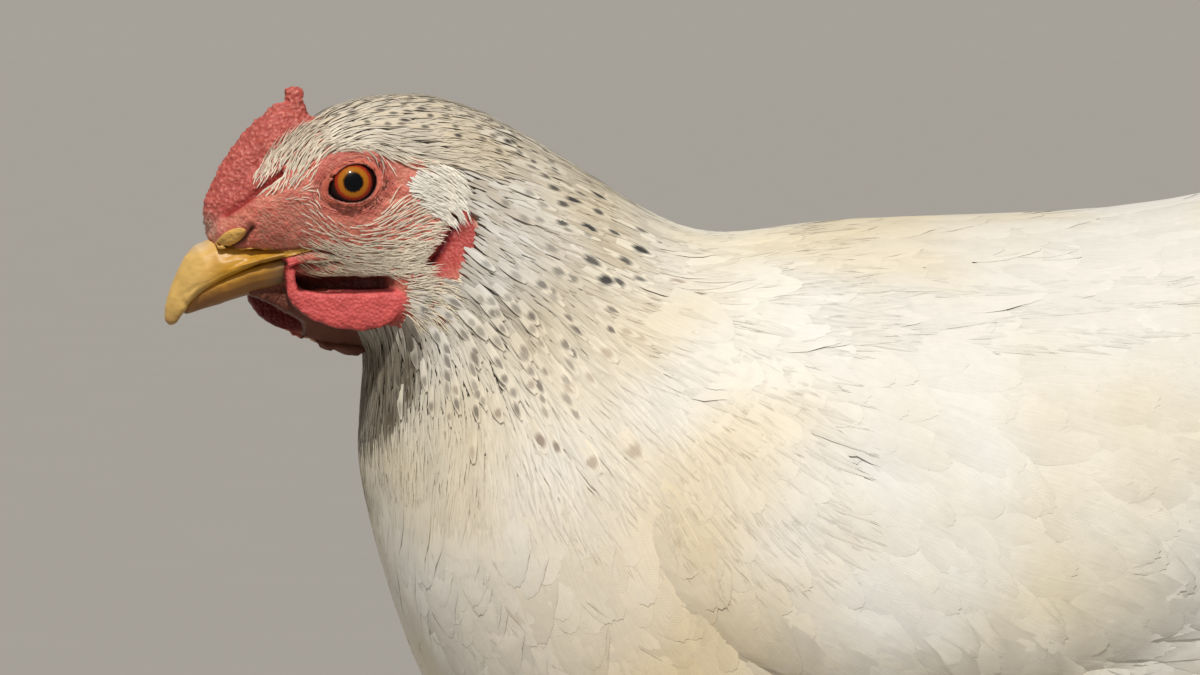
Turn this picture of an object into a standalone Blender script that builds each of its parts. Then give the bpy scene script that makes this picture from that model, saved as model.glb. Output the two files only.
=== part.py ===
"""A laying hen at life size, standing still with her neck drawn in and her head turned a little to her left.

She faces -Y with +Z up. The solids are her outline with the feathers on, parted with thin gaps where a
person would name the parts. Sizes are in millimetres and become metres when a mesh is made.
"""

import math
from collections import namedtuple

import bmesh
import bpy
from mathutils import Matrix, Vector
from mathutils.bvhtree import BVHTree

MM = 0.001
GAP = 0.3                    # clearance between two parts that meet
EYE = Vector((0, -144.3, 297))   # the point midway between the two pupils
HEAD_TURN = math.radians(9)  # to her own left, spread over the neck
NECK_PIVOT_Y = -107.0        # the upright line that the neck turns about
LEG_OUT = 37.0               # from the middle line to each leg
FOOT_Y = -6.0                # where the toes meet

PLUMAGE = ("plumage", (0.88, 0.84, 0.75), 0.75)
BARE_SKIN = ("bare_skin", (0.62, 0.13, 0.11), 0.55)
BEAK_HORN = ("beak_horn", (0.72, 0.47, 0.10), 0.35)
EYE_GLASS = ("eye", (0.62, 0.22, 0.04), 0.08)
LEG_SCALE = ("leg_scale", (0.78, 0.60, 0.26), 0.5)
CLAW_HORN = ("claw_horn", (0.62, 0.52, 0.36), 0.4)

ACROSS = Vector((1, 0, 0))
LEFT, RIGHT = 1, -1
SIDE_NAMES = {LEFT: "left", RIGHT: "right"}

# A section runs from its low point to its high point, each (y, z), and is this wide to each side.
Section = namedtuple("Section", "low high half_width")


def collection():
    found = bpy.data.collections.get("hen")
    if not found:
        found = bpy.data.collections.new("hen")
        bpy.context.scene.collection.children.link(found)
    return found


def material(finish):
    name, colour, roughness = finish
    made = bpy.data.materials.get(name)
    if not made:
        made = bpy.data.materials.new(name)
        made.use_nodes = True
        shader = made.node_tree.nodes["Principled BSDF"]
        shader.inputs["Base Color"].default_value = (*colour, 1)
        shader.inputs["Roughness"].default_value = roughness
        shader.inputs["Metallic"].default_value = 0
    return made


def add_object(name, bm, finish):
    """Makes the named object from bm, in metres, with its faces pointing out."""
    bmesh.ops.recalc_face_normals(bm, faces=bm.faces)
    mesh = bpy.data.meshes.new(name)
    bm.to_mesh(mesh)
    bm.free()
    made = bpy.data.objects.new(name, mesh)
    mesh.materials.append(material(finish))
    collection().objects.link(made)
    return made


def ring(low, high, half_width, across=ACROSS, widest=0.0, powers=(2.2, 2.2), sides=16):
    """Points round one section. widest, from -1 to 1, is the level where it is widest, and powers are
    how square its lower and upper halves are: 2 is round, less is pointed."""
    spread = 1 / math.cos(math.pi / sides)   # so that its sides, not its corners, reach the section
    middle, reach = (low + high) / 2, (high - low) / 2 * spread
    half_width *= spread
    points = []
    for step in range(sides):
        turn = math.tau * step / sides
        sine, cosine = math.sin(turn), math.cos(turn)
        roundness = 2 / (powers[1] if cosine > 0 else powers[0])
        level = math.copysign(abs(cosine) ** roundness, cosine)
        out = math.copysign(abs(sine) ** roundness, sine)
        level += widest * (1 - level * level)
        points.append(middle + reach * level + across * half_width * out)
    return points


def loft(name, rings, finish, smoothing=1):
    """A closed skin over the rings, rounded by smoothing levels of subdivision."""
    bm = bmesh.new()
    loops = [[bm.verts.new(point * MM) for point in points] for points in rings]
    for first, second in zip(loops, loops[1:]):
        for i in range(len(first)):
            j = (i + 1) % len(first)
            bm.faces.new((first[i], first[j], second[j], second[i]))
    bm.faces.new(loops[0])
    bm.faces.new(loops[-1])
    made = add_object(name, bm, finish)
    if smoothing:
        subdivision = made.modifiers.new("round", "SUBSURF")
        subdivision.levels = subdivision.render_levels = smoothing
        settle(made)
    return made


def settle(made):
    """Applies the object's modifiers, so that the next cut starts from plain triangles."""
    graph = bpy.context.evaluated_depsgraph_get()
    mesh = bpy.data.meshes.new_from_object(made.evaluated_get(graph))
    made.modifiers.clear()
    made.data = mesh


def combine(target, tool, operation, grow=0.0):
    """Cuts tool from target, or joins it, after growing tool by this many millimetres."""
    bm = bmesh.new()
    bm.from_mesh(tool.data)
    bm.normal_update()
    for vertex in bm.verts:
        vertex.co += vertex.normal * grow * MM
    grown = add_object(tool.name + "_grown", bm, PLUMAGE)
    boolean = target.modifiers.new("combine", "BOOLEAN")
    boolean.operation, boolean.object = operation, grown
    settle(target)
    bpy.data.objects.remove(grown)


def carve(target, tool, gap=GAP):
    combine(target, tool, "DIFFERENCE", gap)


def join(target, tool):
    combine(target, tool, "UNION")
    bpy.data.objects.remove(tool)


def half(source, name, point, normal):
    """A copy of source behind the plane, as its own object. Its cap is a fan, which both halves of a cut
    share, so that they still fit after the head turns."""
    bm = bmesh.new()
    bm.from_mesh(source.data)
    everything = list(bm.verts) + list(bm.edges) + list(bm.faces)
    cut = bmesh.ops.bisect_plane(
        bm, geom=everything, dist=1e-7, plane_co=point * MM, plane_no=normal, clear_outer=True
    )
    rim = [item for item in cut["geom_cut"] if isinstance(item, bmesh.types.BMEdge)]
    cap = bmesh.ops.edgeloop_fill(bm, edges=rim)["faces"]
    bmesh.ops.poke(bm, faces=cap)
    made = add_object(name, bm, PLUMAGE)
    return made


def part_in_two(source, front_name, rear_name, point, normal):
    """Parts source at a plane that faces the head, with a gap, and removes source."""
    normal = normal.normalized()
    rear = half(source, rear_name, point - normal * GAP / 2, normal)
    front = half(source, front_name, point + normal * GAP / 2, -normal)
    bpy.data.objects.remove(source)
    return front, rear


def mirrored(source, name):
    """A copy of source on the other side of the middle line."""
    bm = bmesh.new()
    bm.from_mesh(source.data)
    bmesh.ops.transform(bm, matrix=Matrix.Scale(-1, 4, ACROSS), verts=bm.verts)
    made = add_object(name, bm, PLUMAGE)
    made.data.materials[0] = source.data.materials[0]
    return made


def side_surface(part, y, z):
    """How far out the left surface of a part is at this level, in millimetres."""
    bm = bmesh.new()
    bm.from_mesh(part.data)
    tree = BVHTree.FromBMesh(bm)
    bm.free()
    hit = tree.ray_cast(Vector((0.2, y * MM, z * MM)), Vector((-1, 0, 0)))[0]
    return hit.x / MM


def head_point(forward, up, out=0.0):
    """A point of the head, counted from the eyes."""
    return EYE + Vector((out, -forward, up))


# ---- body, from the brow to the root of the tail -------------------------------------------------

BODY_SECTIONS = [
    Section((-174.0, 282.6), (-175.0, 289.0), 5.5),
    Section((-170.0, 282.2), (-170.5, 295.5), 9.0),
    Section((-162.5, 281.0), (-162.5, 305.2), 12.4),
    Section((-151.0, 270.8), (-149.0, 314.4), 16.0),
    Section((-141.5, 265.0), (-133.0, 316.8), 18.0),
    Section((-140.5, 258.0), (-123.0, 315.0), 20.5),
    Section((-142.0, 248.5), (-111.0, 310.2), 25.5),
    Section((-142.8, 238.0), (-98.0, 302.5), 33.0),
    Section((-140.0, 224.5), (-83.0, 292.6), 42.5),
    Section((-134.8, 208.0), (-68.0, 284.6), 52.5),
    Section((-127.0, 187.0), (-47.0, 289.6), 61.5),
    Section((-111.0, 162.5), (-22.0, 290.6), 68.5),
    Section((-80.0, 137.5), (6.0, 291.2), 72.5),
    Section((-34.0, 121.0), (32.0, 293.4), 73.0),
    Section((14.0, 122.0), (57.0, 299.6), 67.5),
    Section((57.0, 142.5), (78.0, 309.0), 54.5),
    Section((85.0, 168.5), (96.0, 320.5), 40.5),
    Section((105.0, 197.5), (111.0, 329.5), 31.0),
    Section((129.0, 225.0), (130.0, 339.0), 24.5),
    Section((153.0, 247.0), (149.0, 346.8), 19.5),
    Section((171.0, 264.5), (165.0, 351.8), 15.0),
    Section((182.0, 281.0), (175.5, 353.0), 10.5),
    Section((187.0, 299.0), (182.5, 346.0), 5.5),
]
FIRST_TRUNK_SECTION = 9
FIRST_TAIL_SECTION = 16
NECK_CUT = (Vector((0, -138.0, 250.0)), Vector((0, -100.0, 305.0)))   # throat and nape, behind the ear
TRUNK_CUT = (Vector((0, -144.0, 222.0)), Vector((0, -68.0, 290.0)))   # where the neck meets the trunk
TAIL_CUT = (Vector((0, 101.0, 192.0)), Vector((0, 96.0, 320.0)))      # vent and root of the upper tail


def body_section(index, section):
    """The head narrows to the throat, the trunk is deepest below its middle, and the tail is a tent of
    stiff feathers, wide at its foot."""
    widest, powers = -0.06, (2.1, 2.3)
    if index < FIRST_TRUNK_SECTION:
        widest, powers = 0.08, (1.9, 2.25)
    if index >= FIRST_TAIL_SECTION:
        share = min(1, (index - FIRST_TAIL_SECTION + 1) / 3)
        widest, powers = -0.06 - 0.34 * share, (2.1 + 0.3 * share, 2.3 - 0.6 * share)
    low, high = Vector((0, *section.low)), Vector((0, *section.high))
    return ring(low, high, section.half_width, widest=widest, powers=powers, sides=14)


def make_body():
    return loft("body", [body_section(i, s) for i, s in enumerate(BODY_SECTIONS)], PLUMAGE)


def facing_head(cut):
    """The direction across a cut, towards the head."""
    throat, nape = cut
    return ACROSS.cross(nape - throat)


def part_body(body):
    normal = facing_head(NECK_CUT)
    head, rest = part_in_two(body, "head", "neck_and_trunk", NECK_CUT[0], normal)
    normal = facing_head(TRUNK_CUT)
    _, rest = part_in_two(rest, "neck", "trunk_and_tail", TRUNK_CUT[0], normal)
    normal = facing_head(TAIL_CUT)
    part_in_two(rest, "trunk", "tail", TAIL_CUT[0], normal)
    return head


# ---- wings ---------------------------------------------------------------------------------------

# Along the body: y, lowest z, highest z, and how far the wing stands out of the flank that it lies on.
WING_STATIONS = [
    (-84.0, 221.0, 244.0, 1.5), (-71.0, 205.0, 259.0, 5.0), (-44.0, 193.5, 269.0, 7.5),
    (-4.0, 196.0, 275.0, 8.5), (40.0, 213.5, 277.5, 8.5), (82.0, 235.0, 276.5, 6.5),
    (113.0, 249.0, 270.0, 4.0),
]


def make_wing(body):
    rings = []
    for y, bottom, top, proud in WING_STATIONS:
        flat = ring(Vector((0, y, bottom)), Vector((0, y, top)), proud, powers=(2.8, 2.8), sides=8)
        rings.append([point + ACROSS * side_surface(body, point.y, point.z) for point in flat])
    wing = loft("wing_left", rings, PLUMAGE)
    carve(wing, body)
    mirrored(wing, "wing_right")


# ---- legs ----------------------------------------------------------------------------------------

HOCK = Vector((LEG_OUT, 8.0, 94.0))
ANKLE = Vector((LEG_OUT, FOOT_Y + 1.5, 13.0))   # where the shank meets the pad of the foot
# Height, y of the middle, half length along the body, half width of the feathered drumstick.
THIGH_LEVELS = [
    (186, -27, 34, 21), (165, -24, 38, 26.5), (143, -16, 33, 25), (126, -7.5, 23.5, 19),
    (111, 0.0, 14.0, 12.6), (101, 5, 9.0, 8.8), (92, 7.5, 7.6, 7.2),
]
# Share of the way from hock to ankle, half depth, half width of the scaled shank.
SHANK_LEVELS = [(0.0, 6.4, 6.0), (0.1, 6.6, 6.2), (0.28, 5.2, 5.0), (0.7, 5.0, 4.8), (0.93, 5.8, 5.6)]
# Height and radius of the pad that the toes grow from, down to its sole.
PAD_LEVELS = [(9.5, 7.6), (5.0, 8.4), (1.5, 7.2), (0.0, 5.5)]
TOE_SOLE = 0.9   # depth of the flat that each toe rests on, taken off its underside
# Name, angle outward from straight ahead in degrees, length, half thickness at the root.
TOES = [("middle", 2, 52, 4.6), ("inner", -38, 38, 4.2), ("outer", 40, 40, 4.2), ("hind", 192, 21, 3.9)]
TOE_START = 6.5    # a toe's root is this far from the middle of the pad
CLAW_LENGTH = {"middle": 12.0, "inner": 11.0, "outer": 10.5, "hind": 9.5}
CLAW_SHARE = 0.46      # half depth of a claw's root against its toe's root
CLAW_INSET = 1.5       # how far a claw starts inside the end of its toe
CLAW_CLEARANCE = 0.5   # from a claw's point to the floor


def make_thigh(body):
    rings = []
    for height, y, half_length, half_width in THIGH_LEVELS:
        low, high = (Vector((LEG_OUT, y + side * half_length, height)) for side in (-1, 1))
        rings.append(ring(low, high, half_width, sides=8))
    thigh = loft("thigh", rings, PLUMAGE)
    carve(thigh, body)
    return thigh


def make_shank(thigh):
    along = (ANKLE - HOCK).normalized()
    depth = ACROSS.cross(along).normalized()
    rings = []
    for share, half_depth, half_width in SHANK_LEVELS:
        middle = HOCK.lerp(ANKLE, share)
        reach = depth * half_depth
        rings.append(ring(middle - reach, middle + reach, half_width, sides=8))
    for height, radius in PAD_LEVELS:
        middle, reach = Vector((LEG_OUT, FOOT_Y, height)), Vector((0, radius, 0))
        rings.append(ring(middle - reach, middle + reach, radius, sides=8))
    shank = loft("shank", rings, LEG_SCALE, smoothing=0)
    carve(shank, thigh)
    return shank


def toe_direction(angle):
    """Level direction of a left toe that turns this far outward from straight ahead."""
    turn = math.radians(angle)
    return Vector((math.sin(turn), -math.cos(turn), 0))


def toe_rings(direction, length, thickness):
    """A toe arches a little, swells at each joint, and thins to the claw."""
    root = Vector((LEG_OUT, FOOT_Y, 0)) + direction * TOE_START
    across = direction.cross(Vector((0, 0, 1)))
    rings = []
    levels = 5
    for step in range(levels + 1):
        share = step / levels
        size = thickness * (1 - 0.36 * share) * (0.92 if step % 2 else 1.06)
        middle = root + direction * (length - TOE_START) * share + Vector((0, 0, size - TOE_SOLE))
        up = Vector((0, 0, size))
        rings.append(ring(middle - up, middle + up, size * 1.06, across=across, sides=8))
    return rings


def claw_rings(direction, length, thickness, reach):
    """A claw curves down from the toe's end to a blunt point just over the floor."""
    start = Vector((LEG_OUT, FOOT_Y, 0)) + direction * (length - CLAW_INSET)
    across = direction.cross(Vector((0, 0, 1)))
    root_size = thickness * CLAW_SHARE
    rings = []
    levels = 4
    for step in range(levels + 1):
        share = step / levels
        size = root_size * (1 - 0.86 * share ** 1.5)
        arch = (root_size + TOE_SOLE) * (1 - share ** 2.2)
        middle = start + direction * reach * share + Vector((0, 0, CLAW_CLEARANCE + arch + size * 0.6))
        up = Vector((0, 0, size))
        rings.append(ring(middle - up, middle + up, size * 0.72, across=across, sides=6))
    return rings


def flatten_sole(toe):
    """Takes off what is below the floor, so that the toe rests on a flat."""
    flat = half(toe, toe.name + "_flat", Vector((0, 0, 0)), Vector((0, 0, -1)))
    name, finish = toe.name, toe.data.materials[0]
    bpy.data.objects.remove(toe)
    flat.name = name
    flat.data.materials[0] = finish
    return flat


def make_leg(body):
    thigh = make_thigh(body)
    shank = make_shank(thigh)
    parts = [thigh, shank]
    toes = []
    for name, angle, length, thickness in TOES:
        direction = toe_direction(angle)
        toe = loft("toe_" + name, toe_rings(direction, length, thickness), LEG_SCALE, smoothing=0)
        toe = flatten_sole(toe)
        carve(toe, shank)
        for earlier in toes:
            carve(toe, earlier)
        claw_shape = claw_rings(direction, length, thickness, CLAW_LENGTH[name])
        claw = loft("claw_" + name, claw_shape, CLAW_HORN, smoothing=0)
        carve(claw, toe)
        toes.append(toe)
        parts += [toe, claw]
    for part in parts:
        mirrored(part, part.name + "_right")
        part.name += "_left"


# ---- beak ----------------------------------------------------------------------------------------

# Counted from the eyes, as (forward, up).
UPPER_BEAK_SECTIONS = [
    Section((10.4, -14.9), (10.8, -13.2), 10.4),
    Section((19.6, -17.0), (20.4, -12.6), 9.1),
    Section((28.0, -20.6), (31.4, -9.4), 6.7),
    Section((31.6, -23.2), (35.4, -14.0), 5.2),
    Section((34.2, -25.2), (38.1, -20.2), 3.9),
    Section((36.6, -27.4), (39.7, -25.6), 2.2),
    Section((38.2, -29.2), (39.3, -28.4), 0.8),
]
LOWER_BEAK_SECTIONS = [
    Section((12.0, -20.6), (11.0, -15.9), 8.4),
    Section((20.0, -21.9), (19.3, -17.6), 7.3),
    Section((27.0, -24.0), (26.4, -20.5), 5.6),
    Section((32.6, -26.2), (31.8, -23.6), 3.8),
    Section((35.8, -27.8), (35.0, -26.2), 1.6),
]


def beak_half(name, sections, widest, powers):
    rings = []
    for section in sections:
        low, high = head_point(*section.low), head_point(*section.high)
        rings.append(
            ring(low, high, section.half_width, widest=widest, powers=powers, sides=8)
        )
    return loft(name, rings, BEAK_HORN)


def make_beak():
    upper = beak_half("beak_upper", UPPER_BEAK_SECTIONS, widest=-0.55, powers=(3.2, 2.0))
    lower = beak_half("beak_lower", LOWER_BEAK_SECTIONS, widest=0.55, powers=(2.0, 3.2))
    return upper, lower


# ---- comb, wattles, ear lobes and eyes -------------------------------------------------------------

# A low thick comb that runs up the brow. Each section goes from inside the skull out to the comb's rim.
COMB_SECTIONS = [
    Section((26.5, -10.5), (31.2, -9.0), 3.4),
    Section((24.8, -6.0), (31.5, -3.4), 5.0),
    Section((21.0, 0.6), (27.6, 4.2), 5.5),
    Section((15.4, 6.8), (22.4, 11.6), 5.2),
    Section((10.6, 9.8), (17.2, 16.8), 4.5),
    Section((7.4, 11.2), (12.4, 17.6), 3.3),
    Section((5.8, 11.8), (9.4, 16.4), 2.0),
]
SPIKE_SECTIONS = [
    Section((8.4, 12.0), (15.6, 12.6), 3.2),
    Section((9.2, 16.4), (15.2, 16.8), 2.9),
    Section((10.0, 19.2), (14.6, 19.7), 2.4),
    Section((11.0, 21.2), (13.6, 21.5), 1.5),
]
# Distance forward of the eyes, bottom, top, half thickness of a wattle.
WATTLE_LEVELS = [
    (14.4, -22.0, -17.5, 1.6), (12.4, -26.4, -17.5, 2.3), (5.0, -30.8, -18.5, 2.7),
    (-5.0, -31.4, -20.0, 2.7), (-11.2, -28.4, -21.0, 2.1), (-13.0, -25.0, -22.5, 1.2),
]
WATTLE_OUT = 9.2     # from the middle line to a wattle's front edge
WATTLE_SPLAY = 0.26  # how much further out it stands for each millimetre back
# How far forward and up each one hangs from there: her right one swings forward and lower.
WATTLE_SWING = {LEFT: (0, 0), RIGHT: (6.0, -3.2)}
LOBE_MIDDLE = (-15.8, -11.9)     # behind the eyes and below them
LOBE_SIZE = (2.6, 4.2, 8.9)      # half thickness, half width, half length
LOBE_TILT = math.radians(-32)
EYE_FORWARD = 1.6                # the left eye shows this far ahead of the line between the pupils
EYEBALL_RADIUS = 7.4
EYE_OPENING = 4.7                # radius of the ring where the eyeball meets the lids


def make_comb(body, beak_upper):
    rings = [
        ring(head_point(*s.low), head_point(*s.high), s.half_width, widest=-0.2, powers=(2.2, 2.0), sides=8)
        for s in COMB_SECTIONS
    ]
    comb = loft("comb", rings, BARE_SKIN)
    rings = [
        ring(head_point(*s.low), head_point(*s.high), s.half_width, sides=8)
        for s in SPIKE_SECTIONS
    ]
    join(comb, loft("spike", rings, BARE_SKIN))
    carve(comb, body)
    carve(comb, beak_upper)


def make_wattles(body, beak_lower):
    for side, side_name in SIDE_NAMES.items():
        swing_forward, swing_up = WATTLE_SWING[side]
        rings = []
        for forward, bottom, top, half_thickness in WATTLE_LEVELS:
            out = side * (WATTLE_OUT + WATTLE_SPLAY * (WATTLE_LEVELS[0][0] - forward))
            forward += swing_forward
            low = head_point(forward, bottom + swing_up, out)
            high = head_point(forward, top + swing_up, out)
            rings.append(ring(low, high, half_thickness, sides=8))
        wattle = loft("wattle_" + side_name, rings, BARE_SKIN)
        carve(wattle, body)
        carve(wattle, beak_lower)


def make_lobes(body):
    forward, up = LOBE_MIDDLE
    out = side_surface(body, EYE.y - forward, EYE.z + up)
    bm = bmesh.new()
    bmesh.ops.create_uvsphere(bm, u_segments=12, v_segments=6, radius=MM)
    bmesh.ops.transform(bm, matrix=Matrix.Diagonal((*LOBE_SIZE, 1)), verts=bm.verts)
    bmesh.ops.transform(bm, matrix=Matrix.Rotation(LOBE_TILT, 4, "X"), verts=bm.verts)
    place = head_point(forward, up, out - 0.3) * MM
    bmesh.ops.translate(bm, vec=place, verts=bm.verts)
    lobe = add_object("earlobe_left", bm, BARE_SKIN)
    carve(lobe, body)
    mirrored(lobe, "earlobe_right")


def make_eyes(head):
    surface = side_surface(head, EYE.y - EYE_FORWARD, EYE.z)
    depth = math.sqrt(EYEBALL_RADIUS ** 2 - EYE_OPENING ** 2)
    for side, side_name in SIDE_NAMES.items():
        bm = bmesh.new()
        turned = Matrix.Rotation(math.pi / 2, 4, "Y")
        bmesh.ops.create_uvsphere(
            bm, u_segments=16, v_segments=8, radius=EYEBALL_RADIUS * MM, matrix=turned
        )
        place = head_point(EYE_FORWARD, 0, side * (surface - depth))
        bmesh.ops.translate(bm, vec=place * MM, verts=bm.verts)
        eye = add_object("eye_" + side_name, bm, EYE_GLASS)
        carve(head, eye)


# ---- the whole bird --------------------------------------------------------------------------------

BEAK_REACH = Vector((-39.0, -28.0))   # in y and z, from the eyes to the tip of the beak
TURN_STARTS, TURN_ENDS = 78.0, 34.0   # distances from that line where the turn starts and is full


def turn_share(y, z):
    """1 on the head and 0 on the trunk, from the distance to the line from the eyes to the beak's tip."""
    place = Vector((y, z)) - EYE.yz
    share = min(1, max(0, place.dot(BEAK_REACH) / BEAK_REACH.length_squared))
    distance = (place - BEAK_REACH * share).length
    share = min(1, max(0, (TURN_STARTS - distance) / (TURN_STARTS - TURN_ENDS)))
    return share * share * (3 - 2 * share)


def turn_head():
    """Turns the head to her left, the neck following by degrees."""
    pivot = Vector((0, NECK_PIVOT_Y * MM, 0))
    for part in collection().objects:
        for vertex in part.data.vertices:
            share = turn_share(vertex.co.y / MM, vertex.co.z / MM)
            turned = Matrix.Rotation(HEAD_TURN * share, 3, "Z")
            vertex.co = pivot + turned @ (vertex.co - pivot)


def centre_over_origin():
    """Moves the bird along Y, so that the middle of her length is over the origin."""
    reach = [vertex.co.y for part in collection().objects for vertex in part.data.vertices]
    middle = (min(reach) + max(reach)) / 2
    for part in collection().objects:
        for vertex in part.data.vertices:
            vertex.co.y -= middle


def shade_round():
    for part in collection().objects:
        part.data.shade_smooth()
        part.data.set_sharp_from_angle(angle=math.radians(50))


def build():
    for leftover in list(bpy.data.objects):
        bpy.data.objects.remove(leftover)
    body = make_body()
    make_wing(body)
    make_leg(body)
    beak_upper, beak_lower = make_beak()
    make_comb(body, beak_upper)
    make_wattles(body, beak_lower)
    make_lobes(body)
    head = part_body(body)
    carve(head, beak_lower)
    carve(head, beak_upper)
    carve(beak_lower, beak_upper)
    make_eyes(head)
    turn_head()
    centre_over_origin()
    shade_round()


build()
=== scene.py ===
import math

import bpy
import numpy as np
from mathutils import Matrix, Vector, noise
from mathutils.bvhtree import BVHTree
from mathutils.kdtree import KDTree


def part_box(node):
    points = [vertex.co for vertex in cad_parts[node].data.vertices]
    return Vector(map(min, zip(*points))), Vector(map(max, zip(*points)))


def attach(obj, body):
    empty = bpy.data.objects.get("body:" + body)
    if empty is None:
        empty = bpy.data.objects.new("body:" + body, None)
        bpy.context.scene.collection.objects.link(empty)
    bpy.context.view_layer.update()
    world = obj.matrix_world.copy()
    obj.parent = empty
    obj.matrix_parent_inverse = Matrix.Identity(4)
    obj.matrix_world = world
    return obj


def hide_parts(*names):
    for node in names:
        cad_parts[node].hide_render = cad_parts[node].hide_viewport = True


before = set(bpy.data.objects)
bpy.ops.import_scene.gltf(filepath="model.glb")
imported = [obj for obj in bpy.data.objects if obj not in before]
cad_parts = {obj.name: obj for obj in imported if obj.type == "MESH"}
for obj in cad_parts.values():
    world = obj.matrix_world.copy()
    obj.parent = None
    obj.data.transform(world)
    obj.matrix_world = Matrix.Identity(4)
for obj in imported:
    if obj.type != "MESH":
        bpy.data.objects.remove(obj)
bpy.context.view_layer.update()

# ---- Camera, floor and lamps ---------------------------------------------------------------------
# The hen stands on a plain pale floor. One warm lamp as high as the sun at noon, a little ahead of
# her, lights her left side, and pale air all round fills the shade.

MM = 0.001
AIM = Vector((0, -0.092, 0.2644))
CAMERA_AZIMUTH, CAMERA_HEIGHT, CAMERA_AWAY = math.radians(86), math.radians(3), 1.25
SUN_AZIMUTH, SUN_HEIGHT = math.radians(79), math.radians(54)
FLOOR_TONE, AIR_TONE = (0.32, 0.305, 0.282), (0.382, 0.357, 0.320)


def towards(azimuth, height):
    return Vector((math.sin(azimuth) * math.cos(height), -math.cos(azimuth) * math.cos(height),
                   math.sin(height)))


def tone(red, green, blue):
    """A colour given as a painter's chart gives it, 0 to 255, made linear."""
    shares = np.array([red, green, blue]) / 255.0
    linear = np.where(shares <= 0.04045, shares / 12.92, ((shares + 0.055) / 1.055) ** 2.4)
    return (*(float(share) for share in linear), 1.0)


def wire(node, sockets):
    """Fills a node's sockets with values, or links other nodes' sockets to them."""
    for socket, value in sockets.items():
        if isinstance(value, bpy.types.NodeSocket):
            node.id_data.links.new(value, node.inputs[socket])
        else:
            node.inputs[socket].default_value = value


def put(tree, kind, sockets=None, **settings):
    """Adds a node: settings are its own choices, and its sockets are filled or linked."""
    node = tree.nodes.new(kind)
    for setting, choice in settings.items():
        setattr(node, setting, choice)
    wire(node, sockets or {})
    return node


def own_places(tree):
    return put(tree, "ShaderNodeTexCoord").outputs["Object"]


def clouds(tree, where, scale, detail):
    """A cloudy pattern from 0 to 1."""
    return put(tree, "ShaderNodeTexNoise",
               {"Vector": where, "Scale": scale, "Detail": detail}).outputs["Fac"]


def blend(tree, share, first, second, **settings):
    """The first colour, which turns into the second as share goes from 0 to 1."""
    return put(tree, "ShaderNodeMix", {"Factor": share, 6: first, 7: second}, data_type="RGBA",
               **settings).outputs[2]


def start_material(name):
    material = bpy.data.materials.new(name)
    material.use_nodes = True
    return material, material.node_tree, material.node_tree.nodes["Principled BSDF"]


scene = bpy.context.scene
scene.view_settings.view_transform = "Standard"
bpy.ops.object.select_all(action="DESELECT")
line_of_sight = towards(CAMERA_AZIMUTH, CAMERA_HEIGHT)
bpy.ops.object.camera_add(location=AIM + line_of_sight * CAMERA_AWAY,
                          rotation=line_of_sight.to_track_quat("Z", "Y").to_euler())
camera = bpy.context.object
camera.data.sensor_width, camera.data.lens = 36.0, 176.25
camera.data.clip_end = 200.0
scene.camera = camera

bpy.ops.object.light_add(type="SUN", location=(1, 1, 2),
                         rotation=towards(SUN_AZIMUTH, SUN_HEIGHT).to_track_quat("Z", "Y").to_euler())
sun = bpy.context.object
sun.name = "soft_sun"
sun.data.energy, sun.data.angle = 3.05, math.radians(5)
sun.data.color = (1.0, 0.972, 0.925)

world = bpy.data.worlds.new("studio_air")
scene.world = world
world.use_nodes = True
air = world.node_tree
air.nodes.clear()
fill = put(air, "ShaderNodeBackground", {"Color": (1.0, 0.97, 0.92, 1), "Strength": 0.34})
seen = put(air, "ShaderNodeBackground", {"Color": (*AIR_TONE, 1), "Strength": 1.0})
mixed = put(air, "ShaderNodeMixShader", {0: put(air, "ShaderNodeLightPath").outputs["Is Camera Ray"],
                                         1: fill.outputs[0], 2: seen.outputs[0]})
put(air, "ShaderNodeOutputWorld", {"Surface": mixed.outputs[0]})

bpy.ops.mesh.primitive_plane_add(size=120, location=(0, 0, 0))
floor = bpy.context.object
floor.name = "floor"
floor_paint, tree, shader = start_material("floor_paint")
mottle = clouds(tree, own_places(tree), 9.0, 3.0)
shade = blend(tree, mottle, (*FLOOR_TONE, 1), (*(value * 1.04 for value in FLOOR_TONE), 1))
wire(shader, {"Base Color": shade, "Roughness": 0.9})
floor.data.materials.append(floor_paint)

# ---- Skin ----------------------------------------------------------------------------------------
# The flesh of the whole bird under one skin: red, pebbled and bare on the comb, face, lobes and
# wattles, thin and pale under the feathers, and horny plates from the hocks down. It carries the
# coat, so it lies inside the bird's outline by the depth of the feathers.

HEAD_FLESH = ["head", "comb", "wattle_left", "wattle_right", "earlobe_left", "earlobe_right"]
FEET = [f"{part}_{side}" for side in ("left", "right") for part in
        ("shank", "toe_middle", "toe_inner", "toe_outer", "toe_hind")]
FLESH = HEAD_FLESH + ["neck", "trunk", "tail", "thigh_left", "thigh_right"] + FEET
SKIN_GRAIN, SWELL = 0.9 * MM, 0.32 * MM
TAIL_STUMP = 22 * MM       # how much of the tail is flesh
COAT_ON_BODY = 7.5         # mm of feathers on the trunk and neck
EYE_OPENING = (4.75, 3.85)   # half length and half height of the opening between the lids, mm
LIDS_AHEAD, LIDS_UP = 0.6, 0.8        # middle of that opening from the middle of the eye, mm
LID_TILT = math.radians(-22)
WELD = 0.02 * MM           # points of a solid nearer than this are one
COVERED_DETAIL = 0.222     # share of the skin's triangles that is kept under the coat
HORN_EDGE = ((9.6, 12.2, 17.0, 22.5, 28.0), (-13.0, -12.4, -12.9, -13.3, -13.3))   # face above, beak below

RED = tone(198, 104, 92)
DEEP_RED = tone(146, 40, 36)
WATTLE_RED = tone(206, 86, 84)
FACE_PINK = tone(206, 128, 108)
PALE_SKIN = tone(226, 196, 172)
LEG_YELLOW = tone(214, 172, 88)

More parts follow.
